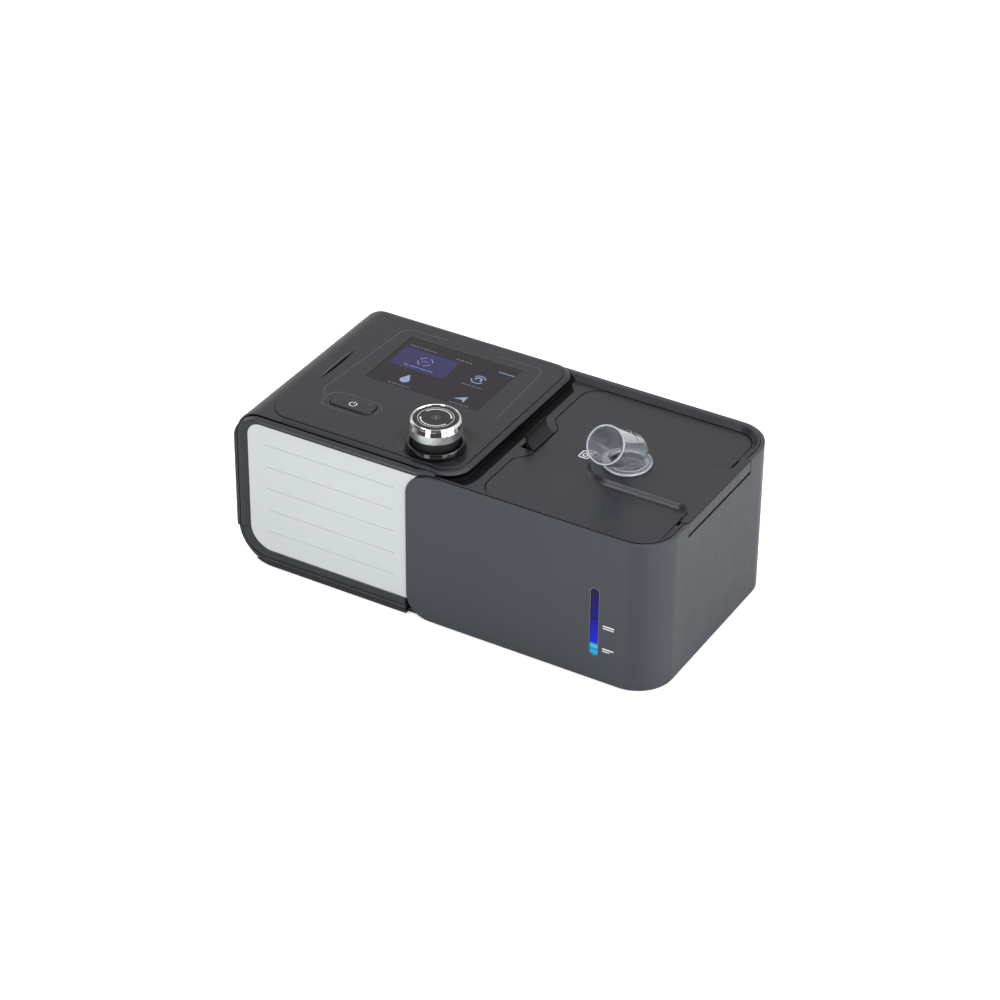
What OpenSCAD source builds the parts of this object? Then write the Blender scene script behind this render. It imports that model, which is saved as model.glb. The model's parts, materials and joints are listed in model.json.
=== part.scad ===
// Bedside breathing machine: a blower unit on the left, a heated humidifier on the right.
// X runs from left to right, Y from front to back and Z up.
// The origin is under the middle of the machine, on the surface that its feet stand on.

/* [Overall] */
// Length from the left side to the right side
body_l = 270; // [262:1:280]
// Depth from the front to the back
body_d = 141; // [137:1:150]
// Height of the casing of the control unit
casing_h = 97.4; // [96:0.1:102]
// Height of the rim round the top of the humidifier
rim_h = 95.8; // [93:0.1:96.2]
// Wall of the moulded shells
wall = 2.4; // [2:0.1:2.8]
// Gap between pieces that meet at a seam
seam = 0.3; // [0.2:0.05:0.4]

/* [Casing] */
// Length of the control unit's top, from the left side to its overhanging lip
unit_l = 144; // [140:1:146]
// Radius of the long edge at the top left
top_left_r = 14.7; // [12:0.1:18]
// Radius of the long edge at the bottom left
bottom_left_r = 23.5; // [20:0.1:26]
// Height of the seam between the upper casing and the base
seam_z = 21.5; // [19:0.5:24]
// How far the lip overhangs the wall below it
lip_overhang = 4; // [3:0.1:5]
// Corner radius of the lip, seen from above
lip_r = 15; // [12:0.5:18]
// Height of the trim band under the lip
lip_band_h = 2; // [1.6:0.1:2.4]
// Thickness of the top plate under the fascia
plate_t = 2.3; // [2:0.1:2.6]
// How far the base is set in from the casing above it
base_inset = 0.6; // [0.3:0.1:1]
// Thickness of the base's floor
floor_t = 2.4; // [2:0.1:3]

/* [Front] */
// Depth of the bezel's rounded edge, from the front to its seam with the casing
bezel_d = 5.2; // [4:0.1:6]
// Width of the bezel round the light panel, at the left
bezel_w = 9.7; // [8:0.1:12]
// Height of the bezel over the light panel
bezel_top = 3.2; // [2.5:0.1:4]
// Height of the light panel's lower edge
panel_z = 11.3; // [10:0.1:13]
// Corner radius of the light panel, at the top left
panel_top_r = 9; // [6:0.5:12]
// Corner radius of the light panel, at the bottom left
panel_bottom_r = 14; // [11:0.5:17]
// How far the light panel lies behind the front
panel_inset = 0.8; // [0.5:0.1:1.2]
// Thickness of the light panel
panel_t = 2.4; // [2:0.1:2.8]
// Width of the light panel's hidden flange behind the bezel
panel_flange = 1.4; // [1:0.1:1.6]
// Number of fine grooves across the light panel
groove_n = 5; // [3:1:6]
// Height between the grooves
groove_pitch = 14.4; // [12:0.1:14.8]
// Height of the top groove
groove_top = 81.8; // [78:0.1:84]
// Width of a groove
groove_w = 0.5; // [0.3:0.1:1]
// Length of a groove
groove_l = 84; // [60:1:86]
// Height of the shadow gap under the bezel
shadow_gap = 1.6; // [1:0.1:2]

/* [Fascia] */
// Length of the fascia plate
fascia_l = 123.7; // [121:0.1:124.5]
// Depth of the fascia plate
fascia_d = 127.5; // [122:0.5:129]
// Distance from the fascia to the lip of the control unit
fascia_x = 3.8; // [3.4:0.1:4.4]
// Distance from the front to the fascia
fascia_y = 10; // [9:0.1:11]
// Corner radius of the fascia
fascia_r = 13; // [9:0.5:15]
// Thickness of the fascia
fascia_t = 1.6; // [1.3:0.1:2]
// How far the fascia stands above the casing
fascia_rise = 0.5; // [0.3:0.1:0.8]
// Length of the finger slit at the left of the fascia
slit_l = 35; // [25:1:40]
// Width of the finger slit
slit_w = 1.6; // [1:0.1:2]

/* [Display] */
// Length of the display window
window_l = 73.5; // [70:0.5:75]
// Depth of the display window
window_d = 51.5; // [48:0.5:52]
// Distance from the window to the lip of the control unit
window_x = 26.8; // [25:0.1:28]
// Distance from the window to the back
window_y = 19.3; // [18.6:0.1:20.6]
// Thickness of the window
window_t = 1.3; // [1:0.1:1.5]
// Width of the casing's ledge under the window
window_ledge = 2; // [1.5:0.1:3]
// Thickness of the display module
module_t = 4.2; // [3.5:0.1:5]

/* [Start button] */
// Length of the start button
start_l = 26.6; // [22:0.1:28]
// Depth of the start button
start_d = 11; // [9:0.1:12]
// Corner radius of the start button
start_r = 3.6; // [2:0.1:4]
// Distance from the left side to the middle of the button
start_x = 54.8; // [53:0.1:58]
// Distance from the front to the middle of the button
start_y = 40.4; // [38:0.1:42]
// How far the start button stands above the fascia
start_rise = 0.7; // [0.5:0.1:1]
// Travel of the start button
start_travel = 0.8; // [0.5:0.1:1]

/* [Control knob] */
// Radius of the knob
knob_r = 14.75; // [13:0.05:16]
// Height of the knob's top above the fascia
knob_h = 17.7; // [16:0.1:20]
// Height of the chrome band
chrome_h = 4.6; // [4:0.1:5]
// Height of the satin band
satin_h = 4.8; // [4:0.1:5]
// Radius of the knob's dark neck
neck_r = 12.8; // [11.5:0.1:13]
// Radius of the knob's top disc
cap_r = 12.7; // [11.5:0.1:13]
// Radius of the gloss base ring round the neck
base_ring_r = 16.7; // [15.5:0.1:18]
// Height of the gloss base ring above the fascia
base_ring_h = 3.3; // [2.5:0.1:4]
// Distance from the knob's axis to the lip of the control unit
knob_x = 28.3; // [28:0.1:30]
// Distance from the front to the knob's axis
knob_y = 29.2; // [29:0.1:31]
// Push travel of the knob
knob_travel = 1; // [0.5:0.1:1.2]
// Radius of the encoder's shaft
shaft_r = 3; // [2.5:0.1:3.5]
// Radius of the shallow dish round the base ring
dish_r = 24; // [20:0.5:24.5]
// Depth of the shallow dish
dish_depth = 0.6; // [0.3:0.1:0.9]

/* [Humidifier] */
// How far the outer sleeve runs on past the lip, towards the left
sleeve_x = 30.4; // [28:0.1:32]
// Radius of the sleeve's upright corners
sleeve_r = 21.8; // [18:0.1:24]
// Radius of the sleeve's corners at its left edge, seen from the front
sleeve_edge_r = 14.5; // [10:0.5:18]
// Height of the sleeve's lower edge
sleeve_z = 1; // [0.9:0.1:1.4]
// How far the deck's rim stands above the sleeve
rim_proud = 0.4; // [0.2:0.1:0.6]
// Height of the rim above the deck
rim_rise = 3.2; // [2.8:0.1:3.2]
// Width of the rim's crest
rim_w = 1.4; // [1:0.1:1.8]
// Width of the rim's slope down to the deck
rim_slope = 2; // [1.5:0.1:2.2]
// Thickness of the deck, with the ledge that the lid lies on
deck_t = 4.8; // [4.6:0.1:5.2]

/* [Lid] */
// Distance from the lip of the control unit to the lid
lid_x = 10.8; // [10:0.1:12]
// Distance from the right side to the lid's right edge
lid_right = 8.1; // [7.8:0.1:8.6]
// Distance from the front and the back to the lid
lid_margin = 6.7; // [6.5:0.1:7.5]
// Corner radius of the lid
lid_r = 12.5; // [10:0.5:14]
// Thickness of the lid's plate
lid_t = 2.4; // [2:0.1:2.6]
// Width of the hinged flap that folds over the right side
flap_w = 73.4; // [68:0.2:76]
// Width of the raised strip over the hinge
strip_w = 5.5; // [4.8:0.1:6]
// Radius of the raised pad round the outlet
pad_r = 20.3; // [18:0.1:22]
// Radius of the fillets where the pad meets the raised strip
pad_fillet = 10; // [7:0.5:12]
// Distance from the right side to the hinge axis
hinge_in = 3.1; // [3.1:0.05:3.2]
// Depth of the hinge axis below the rim
hinge_down = 4.2; // [4.1:0.1:4.2]
// Radius of the lid's hinge barrel
barrel_r = 2.8; // [2.4:0.1:2.9]
// Radius of the hinge pin
pin_r = 1.2; // [1:0.1:1.4]
// Running clearance round pins and shafts
running = 0.05; // [0.02:0.01:0.08]
// Height of the flap below the rim
flap_h = 7.3; // [7.2:0.1:7.3]
// Height of the dark slot under the flap
slot_h = 1.6; // [1.5:0.1:1.8]
// Width of the lid's gasket
gasket_w = 4; // [3.5:0.1:4.5]
// Thickness of the lid's gasket
gasket_t = 1.8; // [1.6:0.1:2]

/* [Latch] */
// Width of the latch button along the lid's edge
latch_w = 22.2; // [20:0.2:24]
// Length of the latch button across the edge
latch_l = 5.8; // [5.4:0.1:6]
// Height of the latch button above the deck
latch_h = 7.2; // [5:0.1:7.5]
// Travel of the latch button, towards the control unit
latch_travel = 2.5; // [2:0.1:2.8]
// Depth of the lid's notch round the latch
notch_d = 7; // [6.8:0.1:7.4]
// Width of the notch at its bottom
notch_w = 30.4; // [28:0.2:32]
// How far each side of the notch slants
notch_slant = 8.6; // [6:0.2:10]

/* [Outlet elbow] */
// Distance from the left side to the elbow's upright axis
elbow_x = 213.3; // [211:0.1:215]
// Distance from the front to the elbow's upright axis
elbow_y = 69.3; // [68:0.1:71]
// Outside radius of the elbow's tube, for a 22 mm hose cuff
elbow_r = 11; // [10.5:0.1:11.5]
// Wall of the elbow's tube
elbow_wall = 1.4; // [1.2:0.1:1.8]
// Length of the elbow's mouth that goes into the cuff, up to its shoulder
mouth_seat = 22; // [20:0.5:24]
// Height of the elbow's bend above the rim
bend_up = 7.5; // [7:0.1:9]
// Length of the slanted tube, from the bend to its mouth
mouth_l = 31.9; // [30:0.1:34]
// Rise of the slanted tube above level
mouth_angle = 35.5; // [33:0.5:40]
// Radius of the elbow's flange
flange_r = 13.9; // [13.5:0.1:15]
// Thickness of the elbow's flange
flange_t = 1.4; // [1.2:0.1:1.8]

/* [Tank and heater] */
// Gap between the tank and the ledge round it
tank_gap = 3.6; // [3.4:0.1:4]
// Height of the tank's floor
tank_z = 9.8; // [9.6:0.1:10.4]
// Wall of the tank
tank_wall = 2; // [1.6:0.1:2.4]
// Corner radius of the tank
tank_r = 10; // [8:0.5:12]
// Radius of the metal plate in the tank's floor
heat_r = 35; // [30:0.5:38]
// Thickness of the heater plate
heater_t = 3; // [2.5:0.1:3.5]
// Distance from the right side to the water window
level_in = 37.4; // [35:0.1:40]
// Width of the water window
level_w = 5; // [4.4:0.1:6]
// Height of the lower end of the water window
level_z = 16.8; // [15:0.1:18]
// Height of the upper end of the water window
level_top = 60.8; // [55:0.1:64]

/* [Blower] */
// Distance from the left side to the blower's axis
blower_x = 73; // [72:0.5:74]
// Distance from the front to the blower's axis
blower_y = 62.5; // [61:0.5:63]
// Outside radius of the blower's housing
blower_r = 44; // [42:0.5:45]
// Height of the underside of the blower's housing
blower_z = 14; // [13:0.5:16]
// Height of the seam in the blower's housing
blower_seam = 50; // [48:0.5:51]
// Height of the top of the blower's housing
blower_top = 71; // [69:0.5:72]
// Radius of the impeller
impeller_r = 34; // [30:0.5:36]
// Number of blades on the impeller
blade_n = 11; // [8:1:14]
// Radius of the motor
motor_r = 18; // [15:0.5:20]
// Radius of the motor's shaft
rotor_r = 1.5; // [1.2:0.1:2]
// Outside radius of the air duct
duct_r = 9; // [8:0.1:9.5]
// Wall of the air duct
duct_wall = 1.5; // [1.2:0.1:2]

/* [Back] */
// Side of the square air filter
filter_s = 44; // [38:1:46]
// Distance from the left side to the middle of the filter
filter_x = 48; // [45:0.5:50]
// Height of the middle of the filter
filter_z = 52; // [48:0.5:54]
// Pull-off travel of the filter cover
cover_travel = 10; // [8:0.5:12]
// Distance from the power inlet to the lip of the control unit
inlet_x = 46; // [44:0.5:50]
// Height of the power inlet
inlet_z = 24; // [20:0.5:28]
// Radius of the power inlet's socket
inlet_r = 3.2; // [3:0.1:3.4]

/* [Feet and screws] */
// Radius of a foot
foot_r = 7; // [6:0.5:8]
// Height of the base above the surface
foot_h = 0.8; // [0.6:0.1:1]
// Distance of the feet from the sides
foot_in = 24; // [22:0.5:28]
// Radius of the casing's screws
screw_r = 1.5; // [1.2:0.1:1.7]

/* [Hidden] */
$fn = 64;

// Margin by which a cut passes a face
cut = 1;

// Overall faces
x_left = -body_l / 2;
x_right = body_l / 2;
y_front = -body_d / 2;
y_back = body_d / 2;

// Control unit, from the top down
lip_x = x_left + unit_l;
wall_x = lip_x - lip_overhang;
fascia_top = casing_h + fascia_rise;
fascia_z = fascia_top - fascia_t;
plate_z = fascia_z - plate_t;
lip_z = fascia_z - lip_band_h;
floor_z = foot_h + floor_t;
casing_y0 = y_front + bezel_d;
casing_y1 = y_back - 0.5;
lip_drop = casing_h - fascia_z;
lip_round = [[3.2, 0], [2, 0.2 * lip_drop], [0.8, 0.5 * lip_drop], [0, lip_drop]];

// Fascia and what it frames
fascia_x0 = lip_x - fascia_x - fascia_l;
fascia_y0 = y_front + fascia_y;
window_x0 = lip_x - window_x - window_l;
window_y0 = y_back - window_y - window_d;
start = [x_left + start_x, y_front + start_y];
knob = [lip_x - knob_x, y_front + knob_y];
slit_x = fascia_x0 + 7;
slit_y = 3;

// Knob, from the top down
knob_top = fascia_top + knob_h;
chrome_z = knob_top - chrome_h;
satin_z = chrome_z - satin_h;
ring_top = fascia_top + base_ring_h;
neck_z = fascia_z + knob_travel + 0.8;
band_t = 0.6;
cap_drop = 1.4;

// Board under the display
module_z = plate_z - module_t;
board_t = 1.6;
board_drop = 2.2;
board_z = module_z - board_drop - board_t;
board_x0 = x_left + 29;
board_x1 = wall_x - wall - 12.6;
board_y0 = y_front + 13.5;
board_y1 = y_back - 13.5;
board_top = board_z + board_t;
encoder_w = 13;
encoder_floor = board_top + 1;
encoder_top = board_top + 7;
encoder_hole_r = 9.6;
plunger_z = encoder_floor + knob_travel + seam;
shaft_z = plunger_z + 2.1;
board_post_r = 3;
board_posts = [for (x = [board_x0 + 4, board_x1 - 3.4]) for (y = [board_y0 + 4, board_y1 - 4]) [x, y]];
switch_top = board_top + 3.5;

// Humidifier faces
sleeve_x0 = lip_x - sleeve_x;
step_x = sleeve_x0 + 6;
deck_x0 = sleeve_x0 + sleeve_edge_r - 2;
sleeve_top = rim_h - rim_proud;
deck_z = rim_h - rim_rise;
deck_in = wall + seam;
lid_x0 = lip_x + lid_x;
lid_x1 = x_right - lid_right;
lid_y = body_d / 2 - lid_margin;
lid_z = deck_z - lid_t;
ledge_w = 3;
hinge_x = x_right - hinge_in;
hinge_z = rim_h - hinge_down;
flap_y = flap_w / 2;
flap_z = rim_h - flap_h;
slot_z = flap_z - slot_h;
strip_x = x_right - strip_w;
hinge_clear = 4.75;
elbow = [x_left + elbow_x, y_front + elbow_y];
bend_z = rim_h + bend_up;
bend_swell = 0.3;
shoulder = 0.2;
latch_y = elbow[1];
latch_x1 = lid_x0 + notch_d - seam - 0.1;
latch_x0 = latch_x1 - latch_l;
latch_hole_x0 = latch_x0 - latch_travel - seam;
latch_foot_z = lid_z - 6;
tongue_x = lid_x0 + notch_d + 0.1;
tongue_t = 1.9;
tongue_w = 10;

// Tank and heater
tank_x0 = lid_x0 + notch_d + tank_gap;
tank_x1 = lid_x1 - tank_gap;
tank_y = lid_y - tank_gap;
gasket_z = lid_z - 0.1 - gasket_t;
tank_top = gasket_z - seam;
tank_mid_x = (tank_x0 + tank_x1) / 2;
heat_t = 1.6;
heater_top = tank_z;
level_x = x_right - level_in;

// Blower
blower = [x_left + blower_x, y_front + blower_y];
blower_wall = 2.2;
outlet_y = blower[1] + blower_r - blower_wall - duct_r;
outlet_z = (blower_seam + blower_top) / 2;
outlet_x = blower[0] + blower_r + 2;
impeller_z = blower_seam + 4;
impeller_h = 12;

// Back
panel_y1 = y_back - 2.8;
rear_t = 2.2;
panel_y0 = panel_y1 - rear_t;
rib_t = 2;
filter = [x_left + filter_x, filter_z];
inlet = [lip_x - inlet_x, inlet_z];
filter_frame = 5;

// Posts that join the casing to the base
casing_post_r = 4;
casing_post_y0 = casing_y0 + lip_overhang + wall + casing_post_r + 0.4;
casing_post_y1 = panel_y0 - filter_frame - seam - casing_post_r;
casing_posts = [for (x = [x_left + 20.5, lip_x - lip_r + 1])
    for (y = [casing_post_y0, casing_post_y1]) [x, y]];
post_split = 17;
head_h = 2.2;
head_r = screw_r * 2;
feet_at = [for (sx = [-1, 1]) for (sy = [-1, 1])
    [sx * (body_l / 2 - foot_in - 6), sy * (body_d / 2 - foot_in)]];

// ---- helpers ----

// Takes away what lies outside a round of radius r at a rectangle's corner
module corner_cut(x, y, sx, sy, r) {
    if (r > 0) difference() {
        translate([x + sx * (r - cut) / 2, y + sy * (r - cut) / 2]) square(r + cut, center = true);
        translate([x + sx * r, y + sy * r]) circle(r);
    }
}

// Rectangle with its own radius at each corner: [front left, front right, back right, back left]
module corner_rect(x0, y0, x1, y1, r) {
    difference() {
        translate([x0, y0]) square([x1 - x0, y1 - y0]);
        corner_cut(x0, y0, 1, 1, r[0]);
        corner_cut(x1, y0, -1, 1, r[1]);
        corner_cut(x1, y1, -1, -1, r[2]);
        corner_cut(x0, y1, 1, -1, r[3]);
    }
}

// Rectangle with one radius at all corners
module round_rect(x0, y0, x1, y1, r) corner_rect(x0, y0, x1, y1, [r, r, r, r]);

// Extrudes an outline drawn in X and Z from y0 to y1
module along_y(y0, y1) translate([0, y1, 0]) rotate([90, 0, 0]) linear_extrude(y1 - y0) children();

// Extrudes an outline drawn in X and Y from z0 to z1
module up(z0, z1) translate([0, 0, z0]) linear_extrude(z1 - z0) children();

// Block between two corners
module block(x0, y0, z0, x1, y1, z1) translate([x0, y0, z0]) cube([x1 - x0, y1 - y0, z1 - z0]);

// Upright round bar
module rod(at, z0, z1, r) translate([at[0], at[1], z0]) cylinder(h = z1 - z0, r = r);

// ---- outlines ----

// The control unit seen from the front, drawn in by a distance
module unit_outline(inset, right = wall_x, bottom = foot_h) {
    corner_rect(x_left + inset, bottom + inset, right, casing_h - inset,
        [bottom_left_r - inset, 0, 0, top_left_r - inset]);
}

// The control unit's shape, with its back edge rounded as its lip is
module unit_solid() {
    y_flat = casing_y1 - lip_round[0][0];
    along_y(casing_y0, y_flat) unit_outline(0);
    hull() for (s = lip_round) along_y(casing_y1 - s[0] - 0.02, casing_y1 - s[0])
        unit_outline(s[1], $fn = 48);
}

// The lip of the control unit's top, seen from above, drawn in by a distance
module lip_outline(inset) {
    r = lip_r - inset;
    corner_rect(x_left + top_left_r, casing_y0 + inset, lip_x - inset, casing_y1 - inset, [0, r, r, 0]);
}

// The control unit below its lip, seen from above: it steps in behind the sleeve
module body_outline(grow = 0) {
    r = lip_r - lip_overhang + grow;
    translate([x_left, casing_y0 - grow])
        square([step_x - x_left + grow, casing_y1 - casing_y0 + 2 * grow]);
    corner_rect(x_left + top_left_r, casing_y0 + lip_overhang - grow, wall_x + grow,
        casing_y1 - lip_overhang + grow, [0, r, r, 0]);
}

// The hollow inside the control unit, seen from above
module hollow_outline() {
    r = lip_r - lip_overhang - wall;
    translate([x_left, casing_y0 - cut]) square([step_x - wall - x_left, casing_y1 - casing_y0 + 2 * cut]);
    corner_rect(x_left + top_left_r, casing_y0 + lip_overhang + wall, wall_x - wall,
        casing_y1 - lip_overhang - wall, [0, r, r, 0]);
}

// The fascia seen from above, grown by a distance
module fascia_outline(grow = 0) {
    round_rect(fascia_x0 - grow, fascia_y0 - grow, fascia_x0 + fascia_l + grow,
        fascia_y0 + fascia_d + grow, fascia_r + grow);
}

// The start button seen from above, grown by a distance
module start_outline(grow = 0) {
    round_rect(start[0] - start_l / 2 - grow, start[1] - start_d / 2 - grow,
        start[0] + start_l / 2 + grow, start[1] + start_d / 2 + grow, start_r + grow);
}

// The humidifier's sleeve seen from above, drawn in by a distance, and open at the left
module sleeve_plan(inset, left) {
    r = sleeve_r - inset;
    corner_rect(left, y_front + inset, x_right - inset, y_back - inset, [0, r, r, 0]);
}

// The sleeve seen from the front, grown by a distance
module sleeve_front(grow = 0) {
    r = sleeve_edge_r + grow;
    corner_rect(sleeve_x0 - grow, sleeve_z - grow, x_right + cut, sleeve_top + grow, [r, 0, 0, r]);
}

// The lid seen from above, grown by a distance, with the notch for the latch
module lid_outline(grow = 0) {
    difference() {
        round_rect(lid_x0 - grow, -lid_y - grow, lid_x1 + grow, lid_y + grow, lid_r + grow);
        polygon([
            [lid_x0 - cut - grow, latch_y - notch_w / 2 - notch_slant + grow],
            [lid_x0, latch_y - notch_w / 2 - notch_slant + grow],
            [lid_x0 + notch_d - grow, latch_y - notch_w / 2 + grow],
            [lid_x0 + notch_d - grow, latch_y + notch_w / 2 - grow],
            [lid_x0, latch_y + notch_w / 2 + notch_slant - grow],
            [lid_x0 - cut - grow, latch_y + notch_w / 2 + notch_slant - grow]]);
    }
}

// The raised pad and hinge strip on the lid, seen from above
module pad_outline() {
    translate(elbow) circle(pad_r);
    translate([elbow[0], elbow[1] - pad_r]) square([x_right - elbow[0], 2 * pad_r]);
    translate([strip_x, -flap_y]) square([strip_w, 2 * flap_y]);
    for (s = [-1, 1]) {
        edge = elbow[1] + s * pad_r;
        difference() {
            translate([strip_x - pad_fillet / 2, edge + s * pad_fillet / 2])
                square(pad_fillet, center = true);
            translate([strip_x - pad_fillet, edge + s * pad_fillet]) circle(pad_fillet);
        }
    }
}

// The tank seen from above, drawn in by a distance
module tank_outline(inset = 0) {
    round_rect(tank_x0 + inset, -tank_y + inset, tank_x1 - inset, tank_y - inset, tank_r - inset);
}

// ---- control unit: shells ----

// Base with its floor, its rounded left side and the posts for the casing's screws
module base_tray() color("#3b3d41") {
    floor_x1 = x_right - deck_in - 0.2;
    floor_y = body_d / 2 - deck_in - 0.2;
    floor_r = sleeve_r - deck_in - 0.2;
    difference() {
        union() {
            // Left side and floor of the control unit
            intersection() {
                along_y(y_front + 0.4, casing_y1) difference() {
                    unit_outline(base_inset, sleeve_x0 - seam, foot_h - base_inset);
                    unit_outline(base_inset + wall, sleeve_x0 + cut, foot_h - base_inset);
                }
                union() {
                    block(x_left, casing_y0, 0, sleeve_x0, y_back, seam_z - seam);
                    block(x_left, y_front, 0, sleeve_x0, y_back, floor_z);
                }
            }
            // Floor under the humidifier
            up(foot_h, floor_z) corner_rect(x_left + bottom_left_r, -floor_y, floor_x1, floor_y,
                [0, floor_r, floor_r, 0]);
            // Rails behind the lower bezel and in front of the rear panel
            block(x_left + bottom_left_r, casing_y0, foot_h + 0.2, sleeve_x0 - seam, casing_y0 + rib_t,
                floor_z + 4);
            block(x_left + bottom_left_r, panel_y0 - rib_t, foot_h + 0.2, sleeve_x0 - seam, panel_y0,
                floor_z + 3);
            // Posts for the casing's screws
            for (p = casing_posts) rod(p, floor_z - 0.2, post_split, casing_post_r);
            // Ring that carries the heater's insulator
            difference() {
                rod([tank_mid_x, 0], foot_h + 0.2, floor_z + 1, heat_r + 3);
                rod([tank_mid_x, 0], floor_z, floor_z + 1 + cut, heat_r - 6);
            }
            // Pads that the tank's corners stand on
            for (x = [tank_x0 + 8, tank_x1 - 8]) for (y = [-tank_y + 8, tank_y - 8])
                rod([x, y], foot_h + 0.2, tank_z, 5);
        }
        for (p = casing_posts) {
            rod(p, 0, post_split + cut, screw_r + 0.2);
            rod(p, foot_h - cut, foot_h + 1 + head_h, head_r + 0.3);
        }
        for (p = feet_at) rod(p, foot_h - cut, foot_h + 1, foot_r + running);
    }
}

// Slices of the bezel's rounded front edge: how far each is drawn in, and how far back it lies
bezel_slices = [[0, bezel_d - 0.1], [0, 3.4], [0.9, 1.4], [2.8, 0]];

// Lower part of the bezel, which turns up the left side as far as the seam
module lower_bezel() color("#44474b") {
    difference() {
        intersection() {
            hull() for (s = bezel_slices)
                along_y(y_front + s[1], y_front + s[1] + 0.1)
                    unit_outline(base_inset + s[0], step_x, foot_h - base_inset, $fn = 48);
            block(x_left, y_front - cut, floor_z + shadow_gap, step_x, casing_y0, seam_z - seam);
        }
        along_y(y_front - cut, casing_y0 + cut) panel_outline(seam);
        along_y(y_front + panel_inset + panel_t, casing_y0 + cut) panel_outline(panel_flange + seam);
        along_y(y_front - cut, casing_y0 + cut) sleeve_front(seam);
    }
}

// Upper casing: left side, top with its overhanging lip, and the wall to the humidifier
module upper_casing() color("#3d3f42") {
    difference() {
        union() {
            intersection() {
                unit_solid();
                up(0, fascia_z) body_outline();
                union() {
                    block(x_left - cut, y_front, seam_z, x_left + 30, y_back, casing_h + cut);
                    block(x_left + 30, y_front, floor_z + seam, wall_x + cut, y_back, fascia_z);
                }
            }
            // Rounded top left edge beside the fascia
            intersection() {
                unit_solid();
                block(x_left - cut, y_front, plate_z, x_left + 30, y_back, casing_h + cut);
            }
            // Lip with its rounded edge
            hull() for (s = lip_round)
                up(casing_h - s[1] - 0.02, casing_h - s[1]) lip_outline(s[0], $fn = 48);
        }
        // Hollow, open at the front, the back and the bottom
        difference() {
            intersection() {
                along_y(casing_y0 - cut, casing_y1 + cut)
                    corner_rect(x_left + wall, 0, wall_x, plate_z, [0, 0, 0, top_left_r - wall]);
                up(0, plate_z) hollow_outline();
            }
            for (p = casing_posts) rod(p, post_split, plate_z, casing_post_r);
            for (p = board_posts) rod(p, board_top, plate_z, board_post_r);
            // Rail in front of the rear panel
            block(x_left + top_left_r, panel_y0 - rib_t, plate_z - 3, step_x - wall, panel_y0, plate_z);
        }
        up(fascia_z, casing_h + cut) fascia_outline(seam);
        // Opening over the display
        up(plate_z - cut, fascia_z + cut) translate([window_x0 + window_ledge, window_y0 + window_ledge])
            square([window_l - 2 * window_ledge, window_d - 2 * window_ledge]);
        up(plate_z - cut, fascia_z + cut) start_outline(seam);
        rod(knob, plate_z - cut, fascia_z + cut, encoder_hole_r);
        for (p = casing_posts) rod(p, post_split - cut, post_split + 14, screw_r + running);
        for (p = board_posts) rod(p, board_z, board_top + 6, 1 + running);
        // Hole for the air duct
        translate([wall_x - wall - cut, outlet_y, outlet_z]) rotate([0, 90, 0])
            cylinder(h = wall + 2 * cut, r = duct_r + seam);
        // Room for the sleeve's back
        along_y(y_back - wall - seam, y_back + cut) sleeve_front(seam);
    }
}

// The light panel seen from the front, grown by a distance
module panel_outline(grow = 0) {
    corner_rect(x_left + bezel_w - grow, panel_z - grow, step_x, casing_h - bezel_top + grow,
        [panel_bottom_r + grow, 0, 0, panel_top_r + grow]);
}

// Bezel round the light panel, with the trim band that runs on under the lip
module front_bezel() color("#45484c") {
    end_r = bezel_d - 0.5;
    difference() {
        intersection() {
            hull() for (s = bezel_slices)
                along_y(y_front + s[1], y_front + s[1] + 0.1)
                    unit_outline(s[0], lip_x - lip_r, $fn = 48);
            up(seam_z, casing_h + cut) corner_rect(x_left - cut, y_front - cut, step_x + 3,
                casing_y0, [0, end_r, 0, 0]);
        }
        along_y(y_front - cut, casing_y0 + cut) panel_outline(seam);
        along_y(y_front + panel_inset + panel_t, casing_y0 + cut) panel_outline(panel_flange + seam);
        along_y(y_front - cut, casing_y0 + cut) sleeve_front(seam);
    }
    // Band under the lip
    up(lip_z, fascia_z - 0.05) difference() {
        intersection() {
            union() {
                lip_outline(0.3);
                translate([step_x, casing_y0 - 1]) square([3, 6]);
            }
            translate([step_x + 0.05, y_front]) square([body_l, body_d]);
        }
        body_outline(0.05);
        translate([step_x, y_back - wall - seam]) square([lip_x - step_x, wall + seam + cut]);
    }
}

// Light panel with its fine grooves, on a flange that lies behind the bezel
module front_panel() color("#d2d7d8") {
    y0 = y_front + panel_inset;
    difference() {
        along_y(y0, y0 + panel_t + 0.1) difference() {
            panel_outline();
            sleeve_front(seam);
        }
        for (i = [0:groove_n - 1]) translate([x_left + 21.5, y0 - cut, groove_top - i * groove_pitch])
            cube([groove_l, cut + 0.4, groove_w]);
    }
    along_y(y0 + panel_t, y0 + panel_t + 1.2) panel_outline(panel_flange);
}

// Fascia with the window, the button hole, the knob's dish and the finger slit
module fascia() color("#48494b") {
    difference() {
        hull() {
            up(fascia_z, fascia_top - 0.4) fascia_outline($fn = 48);
            up(fascia_top - 0.02, fascia_top) fascia_outline(-0.6, $fn = 48);
        }
        up(fascia_z - cut, fascia_top + cut) translate([window_x0, window_y0]) square([window_l, window_d]);
        up(fascia_z - cut, fascia_top + cut) start_outline(seam);
        rod(knob, fascia_z - cut, fascia_top + cut, base_ring_r + running);
        translate([knob[0], knob[1], fascia_top - dish_depth])
            cylinder(h = dish_depth + 0.01, r1 = base_ring_r + 1, r2 = dish_r);
        up(fascia_top - 1, fascia_top + cut) round_rect(slit_x - slit_w / 2, slit_y - slit_l / 2,
            slit_x + slit_w / 2, slit_y + slit_l / 2, slit_w / 2 - 0.01);
    }
}

// ---- display and controls ----

// Clear window over the display
module display_window() color("#1c1d22") {
    up(fascia_z, fascia_z + window_t) translate([window_x0 + 0.1, window_y0 + 0.1])
        square([window_l - 0.2, window_d - 0.2]);
}

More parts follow.
